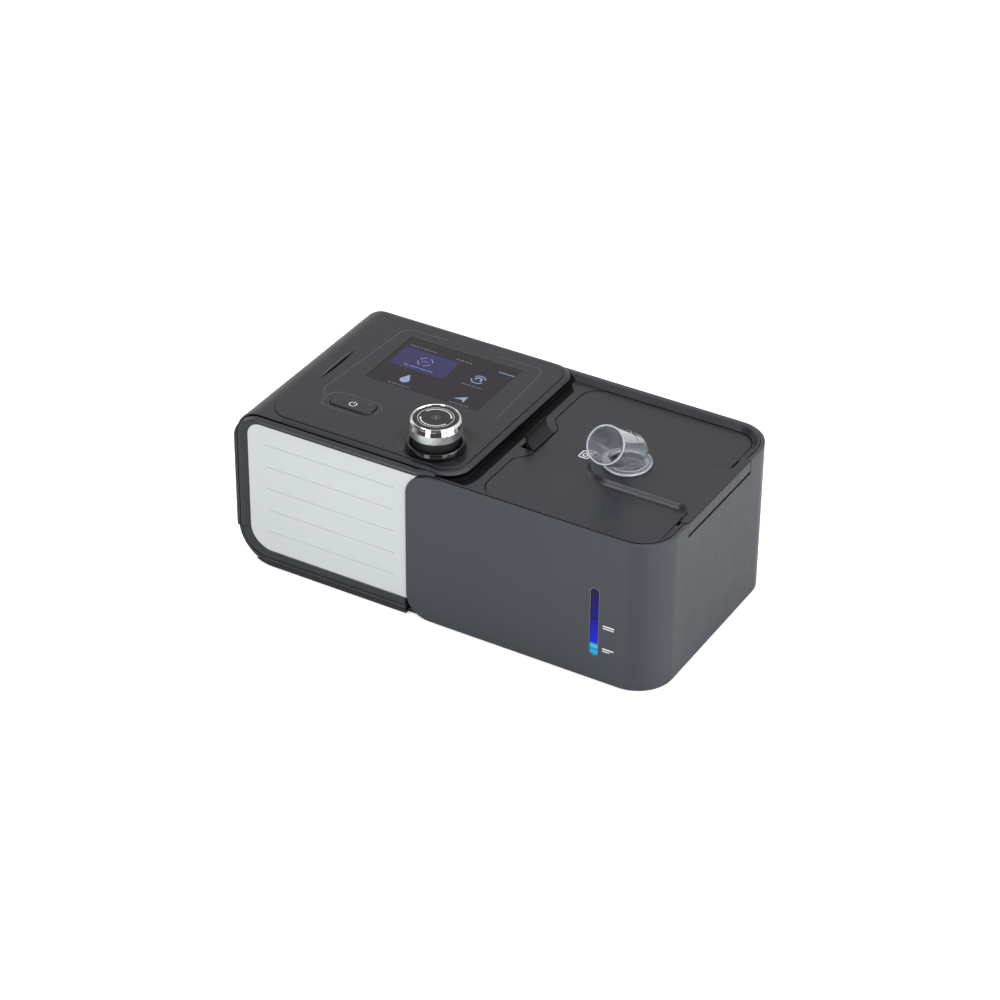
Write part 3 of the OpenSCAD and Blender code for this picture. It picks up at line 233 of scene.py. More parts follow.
M = {
    # Slots of the record
    "casing_plastic": plastic("m_casing", (0.0100, 0.0106, 0.0148), 0.30, spec=0.42),
    "bezel_plastic": plastic("m_bezel", (0.0130, 0.0158, 0.0225), 0.29, swing=0.02, vary=0.02, bump=0.01, spec=0.45),
    "light_panel": plastic("m_panel", (0.52, 0.551, 0.561), 0.5, vary=0.02, bump=0.05),
    "fascia_plastic": plastic("m_fascia", (0.0095, 0.0099, 0.0142), 0.36, spec=0.42),
    "display_glass": plastic("m_glass", (0.0150, 0.0110, 0.0150), 0.14, swing=0.02, bump=0.0, spec=0.2),
    "module": plastic("m_module", (0.05, 0.05, 0.05), 0.5),
    "circuit_board": plastic("m_board", (0.01, 0.09, 0.04), 0.35),
    "black_plastic": plastic("m_black", (0.012, 0.012, 0.013), 0.38),
    "gloss_black": plastic("m_gloss", (0.003, 0.003, 0.004), 0.05, swing=0.015, bump=0.0),
    "satin_metal": plastic("m_satin", (0.62, 0.66, 0.66), 0.36, metallic=1.0, bump=0.03),
    "chrome_trim": plastic("m_chrome", (0.86, 0.87, 0.88), 0.05, swing=0.015, metallic=1.0, bump=0.0),
    "cap_plastic": dotted("m_cap_dots", (0.008, 0.0083, 0.0095), 1500.0),
    "tinplate": plastic("m_tin", (0.55, 0.56, 0.57), 0.3, metallic=1.0),
    "steel": plastic("m_steel", (0.5, 0.5, 0.52), 0.25, metallic=1.0),
    "ivory_plastic": plastic("m_ivory", (0.6, 0.58, 0.5), 0.45),
    "filter_fleece": plastic("m_fleece", (0.7, 0.7, 0.7), 0.9, bump=0.8, grain=900),
    "foam": plastic("m_foam", (0.05, 0.05, 0.055), 0.95, bump=0.9, grain=700),
    "soft_rubber": plastic("m_rubber", (0.018, 0.018, 0.02), 0.75, bump=0.2),
    "seal_rubber": plastic("m_seal", (0.3, 0.3, 0.31), 0.6, bump=0.1),
    "sleeve_metallic": stretched(plastic("m_sleeve", (0.040, 0.0445, 0.055), 0.34, metallic=0.3), 0.8),
    "deck_plastic": plastic("m_deck", (0.0115, 0.0118, 0.0165), 0.34, spec=0.42),
    "clear_plastic": clear("m_clear", (0.86, 0.89, 0.94), 0.94),
    "aluminium": plastic("m_alu", (0.6, 0.6, 0.62), 0.32, metallic=1.0),
    "insulation": plastic("m_insul", (0.25, 0.25, 0.24), 0.8),
    "blue_window": window_glow("m_window"),
    # Finishes of the detailed pieces alone
    "dark_chrome": plastic("m_dark_chrome", (0.42, 0.42, 0.43), 0.05, swing=0.015, metallic=1.0, bump=0.0),
    "latch_grip": dotted("m_latch", (0.0050, 0.0054, 0.0072), 1100.0),
    "hairline": plastic("m_hairline", (0.10, 0.105, 0.11), 0.5, bump=0.0),
    "print_white": plastic("m_print", (0.74, 0.75, 0.76), 0.55, vary=0.03, bump=0.0),
    # Near-black rubber: the rubber line in the bezel's seam, and painted shadow on the band under the lip and the
    # strip beside it
    "rubber_and_painted_shadow": plastic("m_rubber_and_painted_shadow", (0.0022, 0.0024, 0.0032), 0.7, bump=0.05, spec=0.08),
    # Painted shade of the screen's recess at its back and left edges
    "screen_recess_painted_shade": plastic("m_painted_screen_recess_shade", (0.0055, 0.0045, 0.0045), 0.14, bump=0.0, spec=0.28),
    "screen_tile": glow("m_tile", (0.024, 0.021, 0.125), 0.75),
    "screen_icon": glow("m_icon", (0.30, 0.40, 0.66), 0.9),
    "screen_ring": glow("m_ring", (0.22, 0.24, 0.50), 0.9),
    "screen_text": glow("m_text", (0.16, 0.155, 0.17), 0.8),
    "screen_blue": glow("m_blue", (0.20, 0.32, 0.50), 0.9),
    # Whiter clear plastic for the elbow's rims: painted highlight of the lit edges of its clear walls
    "clear_rim_painted_highlight": clear("m_clear_rim_painted_highlight", (0.62, 0.65, 0.70), 0.45),
}

slot_of = {row["node"]: row["material_slot"] for row in frame["record"]["subparts"]}
for name, o in nodes.items():
    mat = M.get(slot_of.get(name), M["casing_plastic"])
    o.data.materials.clear()
    o.data.materials.append(mat)

# Nodes with open rings among their flat faces, which keep their faces as they are
PLAIN = {"humidifier_deck", "lid_gasket", "water_tank", "duct_seal", "heater_insulator"}
# Rounding of the edges in millimetres, where it isn't the usual one
USUAL_WIDTH = 0.25
WIDTHS = {"upper_casing": 0.5, "humidifier_sleeve": 0.35, "fascia": 0.35, "lid": 0.4, "humidifier_deck": 0.4,
          "front_panel": 0.3, "base_tray": 0.5, "lower_bezel": 0.5, "front_bezel": 0.4, "knob_cap": 0.15,
          "level_window": 0.2, "display_window": 0.1, "latch_button": 0.5, "start_button": 0.4}
SHARP = math.radians(34)


def soften(o, width, plain):
    """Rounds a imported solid's edges a little and shades it smoothly, without touching its mesh."""
    weld = o.modifiers.new("join", "WELD")
    weld.merge_threshold = 0.00001
    for p in o.data.polygons:
        p.use_smooth = True
    if plain:
        o.modifiers.new("split", "EDGE_SPLIT").split_angle = SHARP
        return
    flat = o.modifiers.new("flat", "DECIMATE")
    flat.decimate_type = "DISSOLVE"
    flat.angle_limit = math.radians(0.4)
    edge = o.modifiers.new("edge", "BEVEL")
    edge.limit_method = "ANGLE"
    edge.angle_limit = SHARP
    edge.width = width * MM
    edge.segments = 3
    edge.harden_normals = True
    shading = o.modifiers.new("shade", "WEIGHTED_NORMAL")
    shading.keep_sharp = False
    shading.weight = 80


for name, o in nodes.items():
    soften(o, WIDTHS.get(name, USUAL_WIDTH), name in PLAIN)


# ---------------------------------------------------------------- outlines
def arc(x, y, r, start, end, steps=12):
    """Points on a circle, from one angle in degrees to another."""
    angles = [math.radians(start + (end - start) / steps * k) for k in range(steps + 1)]
    return [(x + r * math.cos(t), y + r * math.sin(t)) for t in angles]


def rounded(corners, steps=8, closed=True):
    """Outline of corners (x, y, radius), each rounded by an arc."""
    out = []
    n = len(corners)
    for i, (x, y, r) in enumerate(corners):
        if r <= 0 or (not closed and i in (0, n - 1)):
            out.append((x, y))
            continue
        p = Vector((x, y))
        a = (Vector(corners[i - 1][:2]) - p).normalized()
        b = (Vector(corners[(i + 1) % n][:2]) - p).normalized()
        half = a.angle(b) / 2
        c = p + (a + b).normalized() * (r / math.sin(half))
        s = p + a * (r / math.tan(half)) - c
        e = p + b * (r / math.tan(half)) - c
        first = math.atan2(s.y, s.x)
        sweep = (math.atan2(e.y, e.x) - first + math.pi) % (2 * math.pi) - math.pi
        for k in range(steps + 1):
            t = first + sweep * k / steps
            out.append((c.x + r * math.cos(t), c.y + r * math.sin(t)))
    return out


def box_outline(x0, y0, x1, y1, r, steps=8):
    return rounded([(x0, y0, r), (x1, y0, r), (x1, y1, r), (x0, y1, r)], steps)


def grown(outline, g):
    """Moves an anticlockwise outline outwards by g."""
    out = []
    n = len(outline)
    for i in range(n):
        p = Vector(outline[i])
        a = (p - Vector(outline[i - 1])).normalized()
        b = (Vector(outline[(i + 1) % n]) - p).normalized()
        m = Vector((a.y + b.y, -a.x - b.x)).normalized()
        out.append(tuple(p + m * (g / max(0.6, m.dot(Vector((b.y, -b.x)))))))
    return out


def ring_at(outline, g, z):
    return [(x, y, z) for x, y in (grown(outline, g) if g else outline)]


# ---------------------------------------------------------------- meshes
def skin(bm, rows, closed=False):
    """Faces between rows of vertices; a row of one vertex makes a point."""
    pairs = list(zip(rows, rows[1:])) + ([(rows[-1], rows[0])] if closed else [])
    for a, b in pairs:
        n = max(len(a), len(b))
        for i in range(n):
            quad = [a[i % len(a)], a[(i + 1) % n % len(a)], b[(i + 1) % n % len(b)], b[i % len(b)]]
            face = [v for k, v in enumerate(quad) if v not in quad[:k]]
            if len(face) > 2:
                bm.faces.new(face)


def add_stack(bm, rings, holes=()):
    """A closed solid in millimetres: rings from bottom to top, and the rings of the holes through it."""
    ends = ([], [])
    for stack in (rings, *holes):
        rows = [[bm.verts.new((x * MM, y * MM, z * MM)) for x, y, z in ring] for ring in stack]
        skin(bm, rows)
        for end, row in zip(ends, (rows[0], rows[-1])):
            end += [bm.edges.get((row[i - 1], row[i])) for i in range(len(row))]
    for end in ends:
        bmesh.ops.triangle_fill(bm, edges=end, use_beauty=True)


def finish_mesh(bm, name, mat, body, replaces=(), angle=28, slot=None):
    """Makes the piece from its mesh and puts it on its rigid body."""
    bmesh.ops.recalc_face_normals(bm, faces=bm.faces)
    me = bpy.data.meshes.new(name)
    bm.to_mesh(me)
    bm.free()
    for p in me.polygons:
        p.use_smooth = True
    me.set_sharp_from_angle(angle=math.radians(angle))
    me.materials.append(M[mat])
    o = bpy.data.objects.new(name, me)
    scene.collection.objects.link(o)
    w = o.modifiers.new("shade", "WEIGHTED_NORMAL")
    w.keep_sharp = True
    w.weight = 90
    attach(o, body)
    if replaces:
        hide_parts(*replaces)
    return o


def solid(name, mat, body, stacks, **more):
    """One piece of several closed solids; each stack is (rings, holes)."""
    bm = bmesh.new()
    for rings, holes in stacks:
        add_stack(bm, rings, holes)
    return finish_mesh(bm, name, mat, body, **more)


def lathe(name, mat, body, profiles, at, axis=(0, 0, 1), steps=96, **more):
    """Turned pieces: each closed profile of (radius, height) about an axis through a point."""
    spin = Vector(axis).to_track_quat("Z", "X")
    bm = bmesh.new()
    for profile in profiles:
        rows = []
        for r, h in profile:
            n = steps if r > 0 else 1
            row = []
            for k in range(n):
                t = 2 * math.pi * k / steps
                p = Vector(at) + spin @ Vector((r * math.cos(t), r * math.sin(t), h))
                row.append(bm.verts.new(p * MM))
            rows.append(row)
        skin(bm, rows, closed=profile[0][0] > 0)
    return finish_mesh(bm, name, mat, body, **more)


def ribbon(points, width, closed=False):
    """Outline of a flat line of one width along points."""
    n = len(points)
    left, right = [], []
    for i, p in enumerate(points):
        a = Vector(points[i - 1]) if closed or i else Vector(p)
        b = Vector(points[(i + 1) % n]) if closed or i < n - 1 else Vector(p)
        d = (b - a).normalized()
        side = Vector((-d.y, d.x)) * (width / 2)
        left.append(tuple(Vector(p) + side))
        right.append(tuple(Vector(p) - side))
    return left, right


def marks(name, mat, body, shapes, lines, z, thick=0.04, front=False, slot=None):
    """Thin raised marks: filled shapes, and lines as (points, width, closed). On a front face, z is its y."""
    bm = bmesh.new()

    def put(x, y, h):
        if front:
            return bm.verts.new((x * MM, (z - h) * MM, y * MM))
        return bm.verts.new((x * MM, y * MM, (z + h) * MM))

    for shape in shapes:
        rows = [[put(x, y, h) for x, y in shape] for h in (-0.02, thick)]
        skin(bm, rows)
        for row in rows:
            bm.faces.new(row)
    for points, wide, closed in lines:
        left, right = ribbon(points, wide, closed)
        rails = [[put(x, y, h) for x, y in rail] for rail, h in
                 ((left, -0.02), (left, thick), (right, thick), (right, -0.02))]
        n = len(points)
        for i in range(n if closed else n - 1):
            j = (i + 1) % n
            for a, b in zip(rails, rails[1:] + rails[:1]):
                bm.faces.new((a[i], a[j], b[j], b[i]))
        if not closed:
            for i in (0, n - 1):
                bm.faces.new([rail[i] for rail in rails])
    return finish_mesh(bm, name, mat, body, slot=slot)


def text_bars(x0, x1, y, high, widths, gap=0.7):
    """A row of small bars that stands for a line of writing."""
    out = []
    x = x0
    while x < x1 - 0.4:
        w = min(widths[len(out) % len(widths)], x1 - x)
        out.append([(x, y), (x + w, y), (x + w, y + high), (x, y + high)])
        x += w + gap
    return out


# ---------------------------------------------------------------- fascia, button and window
KNOB = (-19.3, -41.3)
ELBOW = (78.3, -1.2)
FASCIA_LOW, FASCIA_TOP = 96.3, 97.9
KEY_TOP = 98.6
WINDOW = box_outline(-91.3, -0.3, -17.8, 51.2, 0.6, 4)
BUTTON = box_outline(-93.5, -35.6, -66.9, -24.6, 3.6)
SLIT_X, SLIT_Y, SLIT_HALF, SLIT_WIDE = -111.5, 3.0, 18.2, 1.2
# The dish round the knob: where it starts, how far it reaches, and how much less at the front
DISH_IN, DISH_OUT, DISH_SHORT = 16.95, 24.2, 5.6


def lens(half_l, half_w):
    """Pointed oval along y, anticlockwise."""
    rise = (half_l ** 2 - half_w ** 2) / (2 * half_w)
    r = rise + half_w
    reach = math.degrees(math.asin(half_l / r))
    right_side = arc(SLIT_X - rise, SLIT_Y, r, -reach, reach, 20)
    left_side = arc(SLIT_X + rise, SLIT_Y, r, 180 - reach, 180 + reach, 20)
    return right_side[:-1] + left_side[:-1]


def circle(x, y, r, z, steps=96):
    return [(px, py, z) for px, py in arc(x, y, r, 0, 360, steps)[:-1]]


def lens_at(half_l, half_w, z):
    return [(x, y, z) for x, y in lens(half_l, half_w)]


panel = box_outline(-118.5, -60.5, 5.2, 67.0, 13, 16)
fascia_rings = [ring_at(panel, grow, z) for grow, z in
                ((0, FASCIA_LOW), (0, 97.45), (-0.12, 97.72), (-0.4, 97.86), (-0.8, FASCIA_TOP))]
dish = [(0, FASCIA_LOW), (0, 96.75), (0.1, 96.8), (0.35, 97.0), (0.64, 97.42), (0.86, 97.78), (1, FASCIA_TOP)]


def dish_ring(share, z):
    """Ring round the knob, which reaches less far at the front, where the fascia ends."""
    out = []
    for k in range(96):
        t = 2 * math.pi * k / 96
        far = DISH_OUT - DISH_SHORT * max(0, -math.sin(t)) ** 1.3
        r = DISH_IN + (far - DISH_IN) * share
        out.append((KNOB[0] + r * math.cos(t), KNOB[1] + r * math.sin(t), z))
    return out


fascia_holes = [
    [ring_at(WINDOW, grow, z) for grow, z in ((0, FASCIA_LOW), (0, 97.7), (0.2, FASCIA_TOP))],
    [ring_at(BUTTON, grow, z) for grow, z in ((0.35, FASCIA_LOW), (0.35, 97.6), (0.6, FASCIA_TOP))],
    [dish_ring(share, z) for share, z in dish],
    [lens_at(SLIT_HALF - short, wide, z) for short, wide, z in
     ((1.6, 0.35, FASCIA_LOW), (1.2, 0.45, 96.6), (0.4, 0.85, 97.3), (0, SLIT_WIDE, FASCIA_TOP))],
]
solid("fascia_plate", "fascia_plastic", "machine", [(fascia_rings, fascia_holes)], replaces=("fascia",))

button_rings = [ring_at(BUTTON, grow, z) for grow, z in
                ((0, 96.4), (0, 98.0), (-0.18, 98.32), (-0.5, 98.52), (-1.0, KEY_TOP))]
solid("start_key_top", "fascia_plastic", "start_key", [(button_rings, [])], replaces=("start_button",))

# Fine lines: left and right of the screen and round the button; the light line along the slit's left edge is a
# painted highlight
left_line = rounded([(-71.4, 57.9, 0), (-99.6, 57.4, 5.5), (-104.2, -22.5, 6), (-100.2, -29.5, 0)], 10, False)
right_line = rounded([(-36.6, 57.8, 0), (-7.3, 57.8, 5.5), (-4.1, -2.1, 0)], 10, False)
loop = rounded([(-70.5, -38.6, 0), (-98.2, -38.6, 6), (-98.2, -21.8, 7), (-63.9, -21.8, 6.2), (-63.9, -33.2, 0)],
               12, False)
# Painted highlight: a light line along the slit's left edge
slit_painted_highlight = [(x - 0.35, y) for x, y in lens(SLIT_HALF, SLIT_WIDE)[22:39]]
lines = [(left_line, 0.32, False), (right_line, 0.3, False), (loop, 0.32, False), (slit_painted_highlight, 0.5, False)]
marks("fascia_lines", "hairline", "machine", [], lines, FASCIA_TOP, 0.03, slot="fascia_plastic")

# A plain power sign on the start button
px, py = -80.2, -30.1
marks("start_sign", "print_white", "start_key",
      [], [(arc(px, py - 0.2, 2.1, 122, 418, 24), 0.5, False), ([(px, py + 0.3), (px, py + 2.7)], 0.5, False)],
      KEY_TOP, 0.03, slot="fascia_plastic")

# ---------------------------------------------------------------- bezel round the front panel
OUT_X, OUT_TOP, OUT_LOW = -135.0, 97.4, 0.8
IN_X, IN_TOP, IN_LOW = -125.2, 94.3, 11.2
# Outer and inner radii of the ring's upper and lower corners
OUT_R_TOP, IN_R_TOP, OUT_R_LOW, IN_R_LOW = 14.7, 9, 23.5, 14
# The plane behind the bezel, and the turn past the left side at which its two halves meet
BEHIND = -65.35
SEAM_TURN = 6.6
# Share of the way from the outer to the inner edge, and the depth there, on the three sides
SIDE = [(0, -65.4), (0, -69.0), (0.03, -69.6), (0.08, -69.95), (0.27, -70.1), (0.3, -69.5), (0.33, -69.5),
        (0.35, -70.2), (0.42, -70.5), (0.62, -70.5), (0.7, -70.3), (0.96, -69.7), (1, -69.3), (1, -66.5)]
LOW = [(0, -65.4), (0, -68.9), (0.04, -69.5), (0.1, -69.8), (0.34, -69.9), (0.38, -69.3), (0.48, -68.9),
       (0.54, -69.9), (0.6, -70.4), (0.75, -70.5), (0.85, -70.35), (0.96, -69.9), (1, -69.4), (1, -66.5)]
TOP = [(0.6, -65.4), (0.6, -65.75), (0.3, -65.9), (0.22, -66.2), (0.2, -67.0), (0.22, -67.9), (0.25, -68.5),
       (0.29, -69.1), (0.35, -69.6), (0.42, -69.9), (0.52, -70.1), (0.9, -70.2), (1, -69.9), (1, -66.5)]
# The rubber line in the seam behind the bezel
SEAM = [(0.6, BEHIND), (0.07, BEHIND), (0.07, -65.6), (0.6, -65.8)]
# The upper half's right end narrows and falls back under the casing's lip: x, lower edge, distance back
TAPER = ((-4.5, 95.6, 2.6), (-9.0, 95.5, 2.2), (-13.0, 94.9, 0.9), (-16.5, IN_TOP, 0), (-60.0, IN_TOP, 0))


def bezel_path(inset, part):
    """Pairs of outer and inner points of the ring, each with the weights of the three sides and its distance back."""
    left = OUT_X + inset
    rows = []

    def corner(outer, inner, weights, angle, r_out_x, r_out, r_in):
        c, s = math.cos(math.radians(angle)), math.sin(math.radians(angle))
        rows.append(((outer[0] + r_out_x * c, outer[1] + r_out * s),
                     (inner[0] + r_in * c, inner[1] + r_in * s), weights, 0))

    if part == "upper":
        rows += [((x, OUT_TOP), (x, low), (1, 0, 0), back) for x, low, back in TAPER]
        for k in range(13):
            w = k / 12
            corner((left + OUT_R_TOP, OUT_TOP - OUT_R_TOP), (IN_X + IN_R_TOP, IN_TOP - IN_R_TOP),
                   (1 - w, w, 0), 90 + 90 * w, OUT_R_TOP, OUT_R_TOP, IN_R_TOP)
        angles = (180, 180 + SEAM_TURN - 0.4)
    else:
        angles = [180 + SEAM_TURN + (90 - SEAM_TURN) * k / 22 for k in range(23)]
    for angle in angles:
        w = max(0.0, (angle - 215) / 55)
        corner((left + OUT_R_LOW, OUT_LOW + OUT_R_LOW), (IN_X + IN_R_LOW, IN_LOW + IN_R_LOW),
               (0, 1 - w, w), angle, OUT_R_LOW - inset, OUT_R_LOW, IN_R_LOW)
    if part == "lower":
        rows += [((x, OUT_LOW), (x, IN_LOW), (0, 0, 1), 0) for x in (-70.0, -22.2)]
    return rows


def bezel(name, mat, inset, part, profiles, replaces=()):
    """Part of the ring, from the profiles of its top, side and bottom."""
    bm = bmesh.new()
    rows = []
    for (ax, az), (bx, bz), (wt, ws, wl), back in bezel_path(inset, part):
        row = []
        for p_top, p_side, p_low in zip(*profiles):
            share = p_top[0] * wt + p_side[0] * ws + p_low[0] * wl
            y = min(BEHIND, p_top[1] * wt + p_side[1] * ws + p_low[1] * wl + back)
            row.append(bm.verts.new(((ax + (bx - ax) * share) * MM, y * MM, (az + (bz - az) * share) * MM)))
        rows.append(row)
    skin(bm, rows)
    bm.faces.new(rows[0])
    bm.faces.new(rows[-1])
    slot = "bezel_plastic" if replaces else "soft_rubber"
    return finish_mesh(bm, name, mat, "machine", replaces=replaces, angle=24, slot=slot)


bezel("bezel_upper", "bezel_plastic", 0, "upper", (TOP, SIDE, LOW), ("front_bezel",))
bezel("bezel_lower", "bezel_plastic", 0.6, "lower", (TOP, SIDE, LOW), ("lower_bezel",))
shut = [(0.3, y) for _, y in SEAM]
bezel("bezel_seam", "rubber_and_painted_shadow", 0, "upper", (SEAM, shut, shut))

# Band under the casing's lip, round its corner and along the humidifier's deck, in near-black: a real band, darkened
# as painted shade under the lip
LIP = (-6.0, -50.4)
lip = ([(-19.5, -65.4)] + arc(*LIP, 15.0, -90, -12, 20)
       + [(8.0, -38.0), (7.4, 0.0), (7.4, 62.0), (-14.0, 62.0)])
lip_rings = [ring_at(lip, grow, z) for grow, z in
             ((0.8, 92.65), (1.5, 92.8), (1.7, 93.2), (1.4, 93.8), (0.5, 94.25))]
solid("lip_band", "rubber_and_painted_shadow", "machine", [(lip_rings, [])], slot="soft_rubber")

# Near-black strip on the deck beside the lip: painted shadow of the lip on the deck
painted_shadow_outline = arc(*LIP, 20.6, -36, 0, 12) + [(14.6, 54.0), (9.2, 60.5)] + arc(*LIP, 15.2, 0, -51, 12)
painted_shadow_rings = [ring_at(painted_shadow_outline, grow, z) for grow, z in ((0, 92.5), (0, 92.62), (-0.6, 92.78))]
solid("deck_painted_shadow", "rubber_and_painted_shadow", "machine", [(painted_shadow_rings, [])], slot="soft_rubber")

# ---------------------------------------------------------------- screen
GLASS = 97.6
# Dark bands at the back and left of the screen: the walls of the recess under the glass and their shade, painted flat
# on the glass
recess_shade_bands = [[(-91.1, 46.6), (-18.0, 46.6), (-18.0, 51.0), (-91.1, 51.0)],
              [(-91.1, -0.1), (-88.9, -0.1), (-88.9, 46.6), (-91.1, 46.6)]]
marks("screen_recess_painted_shade", "screen_recess_painted_shade", "machine", recess_shade_bands, [], GLASS, 0.02, slot="display_glass")
marks("screen_tile", "screen_tile", "machine", [[(-88.4, 19.9), (-52.3, 19.9), (-52.3, 40.2), (-88.4, 40.2)]], [],
      GLASS, 0.03, slot="display_glass")
drop = [(-70.2 + 3.0 * math.cos(t) * (1 - 0.35 * max(0, math.sin(t))),
         8.6 + 3.1 * math.sin(t) * (1 + 0.75 * max(0, math.sin(t)) ** 3))
        for t in [2 * math.pi * k / 36 for k in range(36)]]
plane = [(-36.2, 5.6), (-29.6, 10.6), (-29.2, 4.0), (-31.4, 6.4)]
marks("screen_icons", "screen_icon", "machine", [drop, plane],
      [(arc(-34.3, 29.8, 4.0, 20, 150, 14), 0.7, False), (arc(-34.3, 29.8, 4.0, 190, 330, 14), 0.7, False),
       (arc(-34.3, 29.8, 1.9, -40, 200, 16), 1.1, False)], GLASS, 0.05, slot="display_glass")
marks("screen_ring", "screen_ring", "machine", [],
      [(arc(-70.3, 31.0, 4.3, a, a + 62, 8), 0.7, False) for a in (10, 100, 190, 280)]
      + [([(-72.4, 30.0), (-70.6, 31.6), (-68.2, 31.0)], 0.6, False)]
      + [([(x, 23.2), (x + w, 23.2)], 0.7, False) for x, w in ((-80, 3.2), (-75.8, 5.4), (-69.4, 4.2), (-64.4, 3.6))],
      GLASS, 0.05, slot="display_glass")
writing = (text_bars(-77.6, -63.6, 1.6, 0.8, (2.2, 3.4, 1.6)) + text_bars(-40.4, -27.3, 21.4, 0.9, (3.0, 1.8, 2.6))
           + text_bars(-37.0, -24.0, 1.0, 0.8, (2.4, 3.2)) + text_bars(-87.6, -70.0, 42.6, 0.9, (3.6, 1.4, 2.2))
           + text_bars(-56.6, -46.2, 42.4, 1.0, (1.8, 2.8)))
marks("screen_writing", "screen_text", "machine", writing, [], GLASS, 0.05, slot="display_glass")
marks("screen_status", "screen_blue", "machine", text_bars(-28.4, -18.6, 42.6, 1.1, (1.6, 2.2, 1.2), 0.5), [],
      GLASS, 0.05, slot="display_glass")

# ---------------------------------------------------------------- knob
CAP_TOP = 115.2
lathe("knob_base_ring", "gloss_black", "machine",
      [[(13.1, 96.4), (16.8, 96.4), (16.85, 97.6), (16.15, 100.2), (15.95, 100.6), (15.6, 100.8), (15.2, 100.85),
        (13.7, 99.6), (13.3, 99.2), (13.1, 98.6)]], (*KNOB, 0), replaces=("knob_base",))
lathe("knob_lip", "chrome_trim", "knob",
      [[(12.75, 113.9), (14.4, 113.9), (14.42, 114.1), (14.0, 114.9), (13.78, 115.3), (13.6, 115.46),
        (13.35, 115.5), (13.15, 115.42), (13.0, 115.15), (12.9, 114.95), (12.75, 114.9)]],
      (*KNOB, 0), replaces=("knob_chrome_ring",))
lathe("knob_dark_band", "dark_chrome", "knob",
      [[(12.75, 111.1), (14.7, 111.1), (14.76, 111.2), (13.8, 113.8), (13.7, 113.88), (12.75, 113.88)]],
      (*KNOB, 0), slot="chrome_trim", replaces=("knob_chrome_ring",))
sweep = [(arc(*KNOB, 8.5, a, a + 128, 28), 0.62, False) for a in (32, 212)]
heads = []
for a in (32, 212):
    tip = math.radians(a - 9)
    base = math.radians(a + 1)
    heads.append([(KNOB[0] + r * math.cos(t), KNOB[1] + r * math.sin(t))
                  for r, t in ((8.5, tip), (9.35, base), (7.65, base))])
marks("knob_marks", "print_white", "knob", heads,
      [(arc(*KNOB, 10.0, 0, 360, 96)[:-1], 0.24, True), *sweep], CAP_TOP, 0.04, slot="cap_plastic")
marks("knob_dot", "hairline", "knob", [arc(*KNOB, 1.1, 0, 360, 24)[:-1]],
      [(arc(*KNOB, 2.3, 0, 360, 40)[:-1], 0.35, True)], CAP_TOP, 0.03, slot="cap_plastic")

# ---------------------------------------------------------------- lid
LID_X0, LID_X1, LID_Y, LID_R = 19.8, 126.9, 63.8, 12.5
LID_LOW, LID_TOP, PAD_TOP = 90.2, 92.6, 95.8
HALF = 36.7  # half the length of the strip at the hinge
notch = [(LID_X0, 22.6, 3.5), (26.8, 14.0, 3.5), (26.8, -16.4, 3.5), (LID_X0, -25.0, 3.5)]
lid = rounded([(LID_X0, -LID_Y, LID_R), (LID_X1, -LID_Y, LID_R), (LID_X1, LID_Y, LID_R), (LID_X0, LID_Y, LID_R),
               *notch], 10)
strip_end = [(130.0, -HALF), (134.6, -HALF), (134.85, -36.45), (134.85, 36.45), (134.6, HALF), (130.0, HALF)]
pad = (arc(*ELBOW, 20.3, 90, 270, 40) + arc(119.5, -31.5, 10, 90, 0, 12) + strip_end
       + arc(119.5, 29.1, 10, 0, -90, 12))
bore = 11.15
lid_rings = [ring_at(lid, grow, z) for grow, z in
             ((0, LID_LOW), (0, 92.05), (-0.12, 92.35), (-0.4, 92.55), (-0.8, LID_TOP))]


def pad_ring(g, z):
    """The pad's outline grown by g, without passing the flap's face."""
    out = []
    for (x, y), (x0, y0) in zip(grown(pad, g), pad):
        end = x0 > 129.9
        out.append((x0 - max(0, -g) * 0.35 if end else min(x, 134.7), y0 if end else y, z))
    return out


flare = [(1.7, 92.3), (1.7, 92.58), (1.5, 92.72), (1.2, 92.95), (0.8, 93.4), (0.2, 94.2), (-0.3, 94.9),
         (-0.7, 95.35), (-1.15, 95.65), (-1.7, PAD_TOP)]
pad_rings = [pad_ring(grow, z) for grow, z in flare]
pad_hole = [circle(*ELBOW, r, z, 64) for r, z in ((bore, 92.3), (bore, 95.5), (bore + 0.3, PAD_TOP))]
plate_hole = [circle(*ELBOW, bore, z, 64) for z in (LID_LOW, LID_TOP)]
strip = box_outline(129.5, -HALF, 134.0, HALF, 0.3, 3)
strip_rings = [ring_at(strip, grow, z) for grow, z in ((0, LID_LOW), (0, 95.0), (-0.2, 95.4))]
solid("lid_shell", "deck_plastic", "lid",
      [(lid_rings, [plate_hole]), (pad_rings, [pad_hole]), (strip_rings, [])], replaces=("lid",))
lathe("lid_hinge_barrel", "deck_plastic", "lid",
      [[(1.3, -36.6), (2.7, -36.6), (2.8, -36.4), (2.8, 36.4), (2.7, 36.6), (1.3, 36.6)]],
      (131.9, 0, 91.6), axis=(0, 1, 0), steps=32)
flap = box_outline(131.9, -HALF, 135.0, HALF, 0.4, 4)
flap_rings = [ring_at(flap, grow, z) for grow, z in
              ((-0.45, 88.5), (-0.12, 88.62), (0, 88.9), (0, 94.95), (-0.08, 95.12), (-0.3, 95.2))]
solid("lid_flap", "sleeve_metallic", "lid", [(flap_rings, [])])
# A drop in a frame, printed beside the elbow
sign = rounded([(49.6, -4.2, 0.8), (55.2, -4.2, 0.8), (55.2, 2.4, 0.8), (49.6, 2.4, 0.8)], 4)
sign_drop = [(52.4 + 1.25 * math.cos(t), -1.4 + 1.25 * math.sin(t) * (1 + 0.9 * max(0, math.sin(t)) ** 3))
             for t in [2 * math.pi * k / 24 for k in range(24)]]
marks("lid_sign", "print_white", "lid", [], [(sign, 0.8, True), (sign_drop, 0.75, True)], LID_TOP, 0.04,
      slot="deck_plastic")

